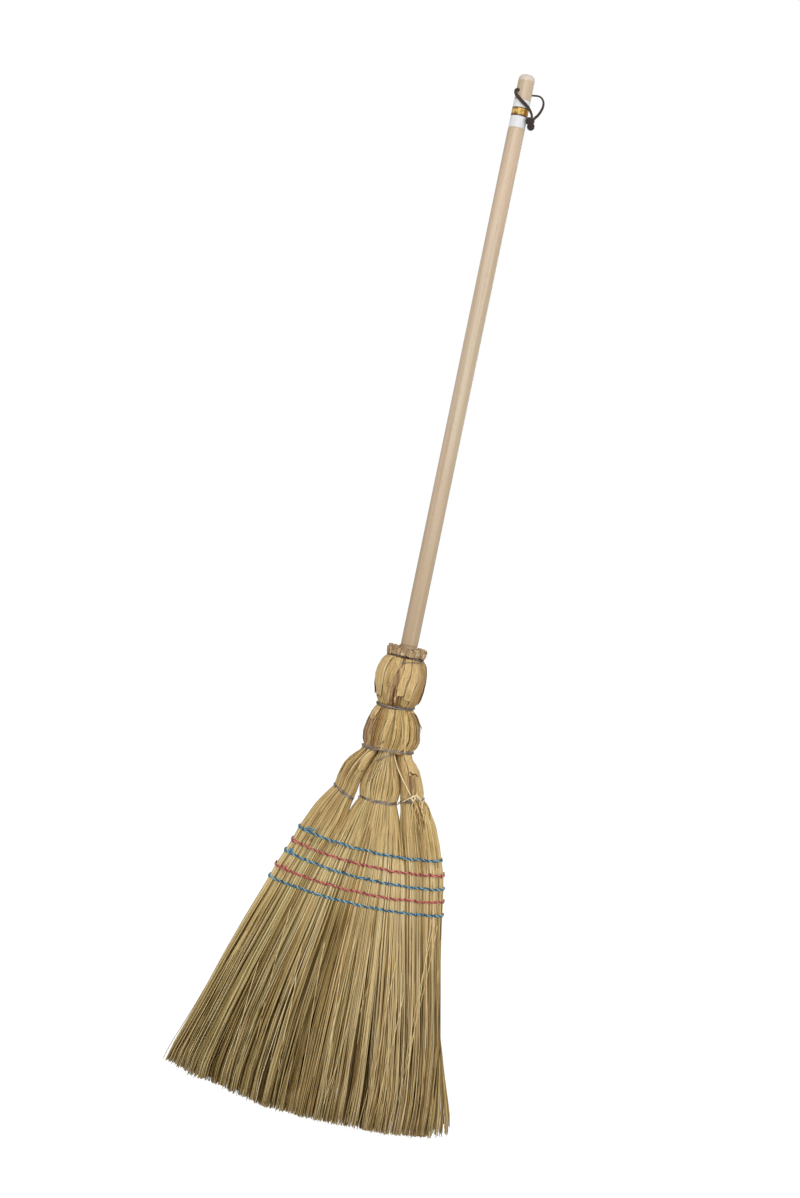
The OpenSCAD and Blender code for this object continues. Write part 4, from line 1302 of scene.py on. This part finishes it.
def make_curled_stalks(count=26):
    """The curly frayed stalks below the tied straw's knot."""
    t = np.linspace(0, 1, 60)[None]
    start = np.stack([rng.uniform(44, 60, count), rng.uniform(423, 429, count)], 1)
    fall = np.stack([rng.uniform(4, 15, count), -rng.uniform(14, 34, count)], 1)
    loop = rng.uniform(0.6, 3.2, (count, 1)) * np.sin(np.pi * t) ** 0.7
    turn = rng.uniform(3, 12, (count, 1)) * t * (1.3 - t) + rng.uniform(0, 6, (count, 1))
    x = start[:, :1] + fall[:, :1] * t + loop * np.sin(turn)
    height = start[:, 1:] + fall[:, 1:] * t + loop * np.cos(turn)
    paths = front_point(x, height, rng.uniform(0.5, 2.2, (count, 1)))
    width = rng.uniform(0.8, 1.5, (count, 1)) * (1 - 0.5 * t ** 3)
    dark = rng.random(count) < 0.4
    riding("curled_stalks", tubes(paths, width, width, sides=5), "stalks", "stalks",
           tone=np.where(dark, 0.2, rng.uniform(0.6, 1.0, count)), hue=rng.uniform(0.0, 0.5, count))


def make_loose_ends():
    """The neck wire's twisted end across the top of the leaf strips, and the twine's loose ends."""
    rings = tubes(lying(WIRE_TAIL, 2.4)[None], 1.1, 1.1, sides=6)
    riding("neck_wire_tail", rings, "wire", "binding_wire")
    for shade, ends in TWINE_ENDS.items():
        paths = np.array([lying(points, 1.6, 30) for points in ends])
        riding(shade + "_twine_ends", tubes(paths, 1.5, 1.4, sides=6), shade, shade + "_twine",
               tone=rng.uniform(0.2, 0.8, len(ends)), hue=rng.random(len(ends)))


make_over_straws()
make_tie()
make_curled_stalks()
make_loose_ends()

for node, material in (("handle", wood_material()), ("label_sleeve", paper_material()),
                       ("label_band", foil_material()), ("anchor_nails", steel_material())):
    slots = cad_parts[node].data.materials
    slots.clear()
    slots.append(material)


# ---- studio ----

# Each light: [place, size across in metres, power in watts].
LIGHTS = {"key": [(-700, -2300, 1700), 1.5, 23.5], "fill": [(1300, -1900, 900), 1.8, 14.5],
          "back": [(600, 1900, 1500), 1.6, 10]}
LIGHT_TARGET = (0, 0, 620)
FLOOR_HALF = 30.0        # in metres
FLOOR_GAP = 3            # from the tips down to the floor
SURROUND_LIGHT = 0.6     # how bright the white surroundings are as a light


def make_light(name, place, size, power):
    data = bpy.data.lights.new(name, "AREA")
    data.shape = "DISK"
    data.size = size
    data.energy = power
    light = show(name, data)
    light.location = in_frame(place)
    aim = Vector(in_frame(LIGHT_TARGET)) - light.location
    light.rotation_mode = "QUATERNION"
    light.rotation_quaternion = aim.to_track_quat("-Z", "Y")


def make_floor():
    """A floor under the tips that looks white and lights nothing."""
    mesh = bpy.data.meshes.new("floor")
    corners = [(-1, -1), (1, -1), (1, 1), (-1, 1)]
    z = BASE_Z - FLOOR_GAP * MM
    mesh.from_pydata([(FLOOR_HALF * x, FLOOR_HALF * y, z) for x, y in corners], [], [(0, 1, 2, 3)])
    floor = show("floor", mesh)
    white = Nodes("floor_white", Roughness=0.9, Specular_IOR_Level=0.0, Base_Color=colour(110, 110, 110),
                  Emission_Color=(1, 1, 1, 1), Emission_Strength=0.97)
    mesh.materials.append(white.material)
    floor.visible_diffuse = False
    floor.visible_glossy = False


def make_world():
    """White surroundings, which light the broom more softly than the camera sees them."""
    world = bpy.data.worlds.new("studio")
    world.use_nodes = True
    nodes, links = world.node_tree.nodes, world.node_tree.links
    background = nodes["Background"]
    background.inputs["Color"].default_value = (1, 1, 1, 1)
    seen = nodes.new("ShaderNodeLightPath")
    strength = nodes.new("ShaderNodeMapRange")
    strength.inputs["To Min"].default_value = SURROUND_LIGHT
    links.new(seen.outputs["Is Camera Ray"], strength.inputs["Value"])
    links.new(strength.outputs[0], background.inputs["Strength"])
    bpy.context.scene.world = world


make_floor()
make_world()
for name, light in LIGHTS.items():
    make_light(name, *light)
bpy.context.scene.view_settings.view_transform = "Standard"
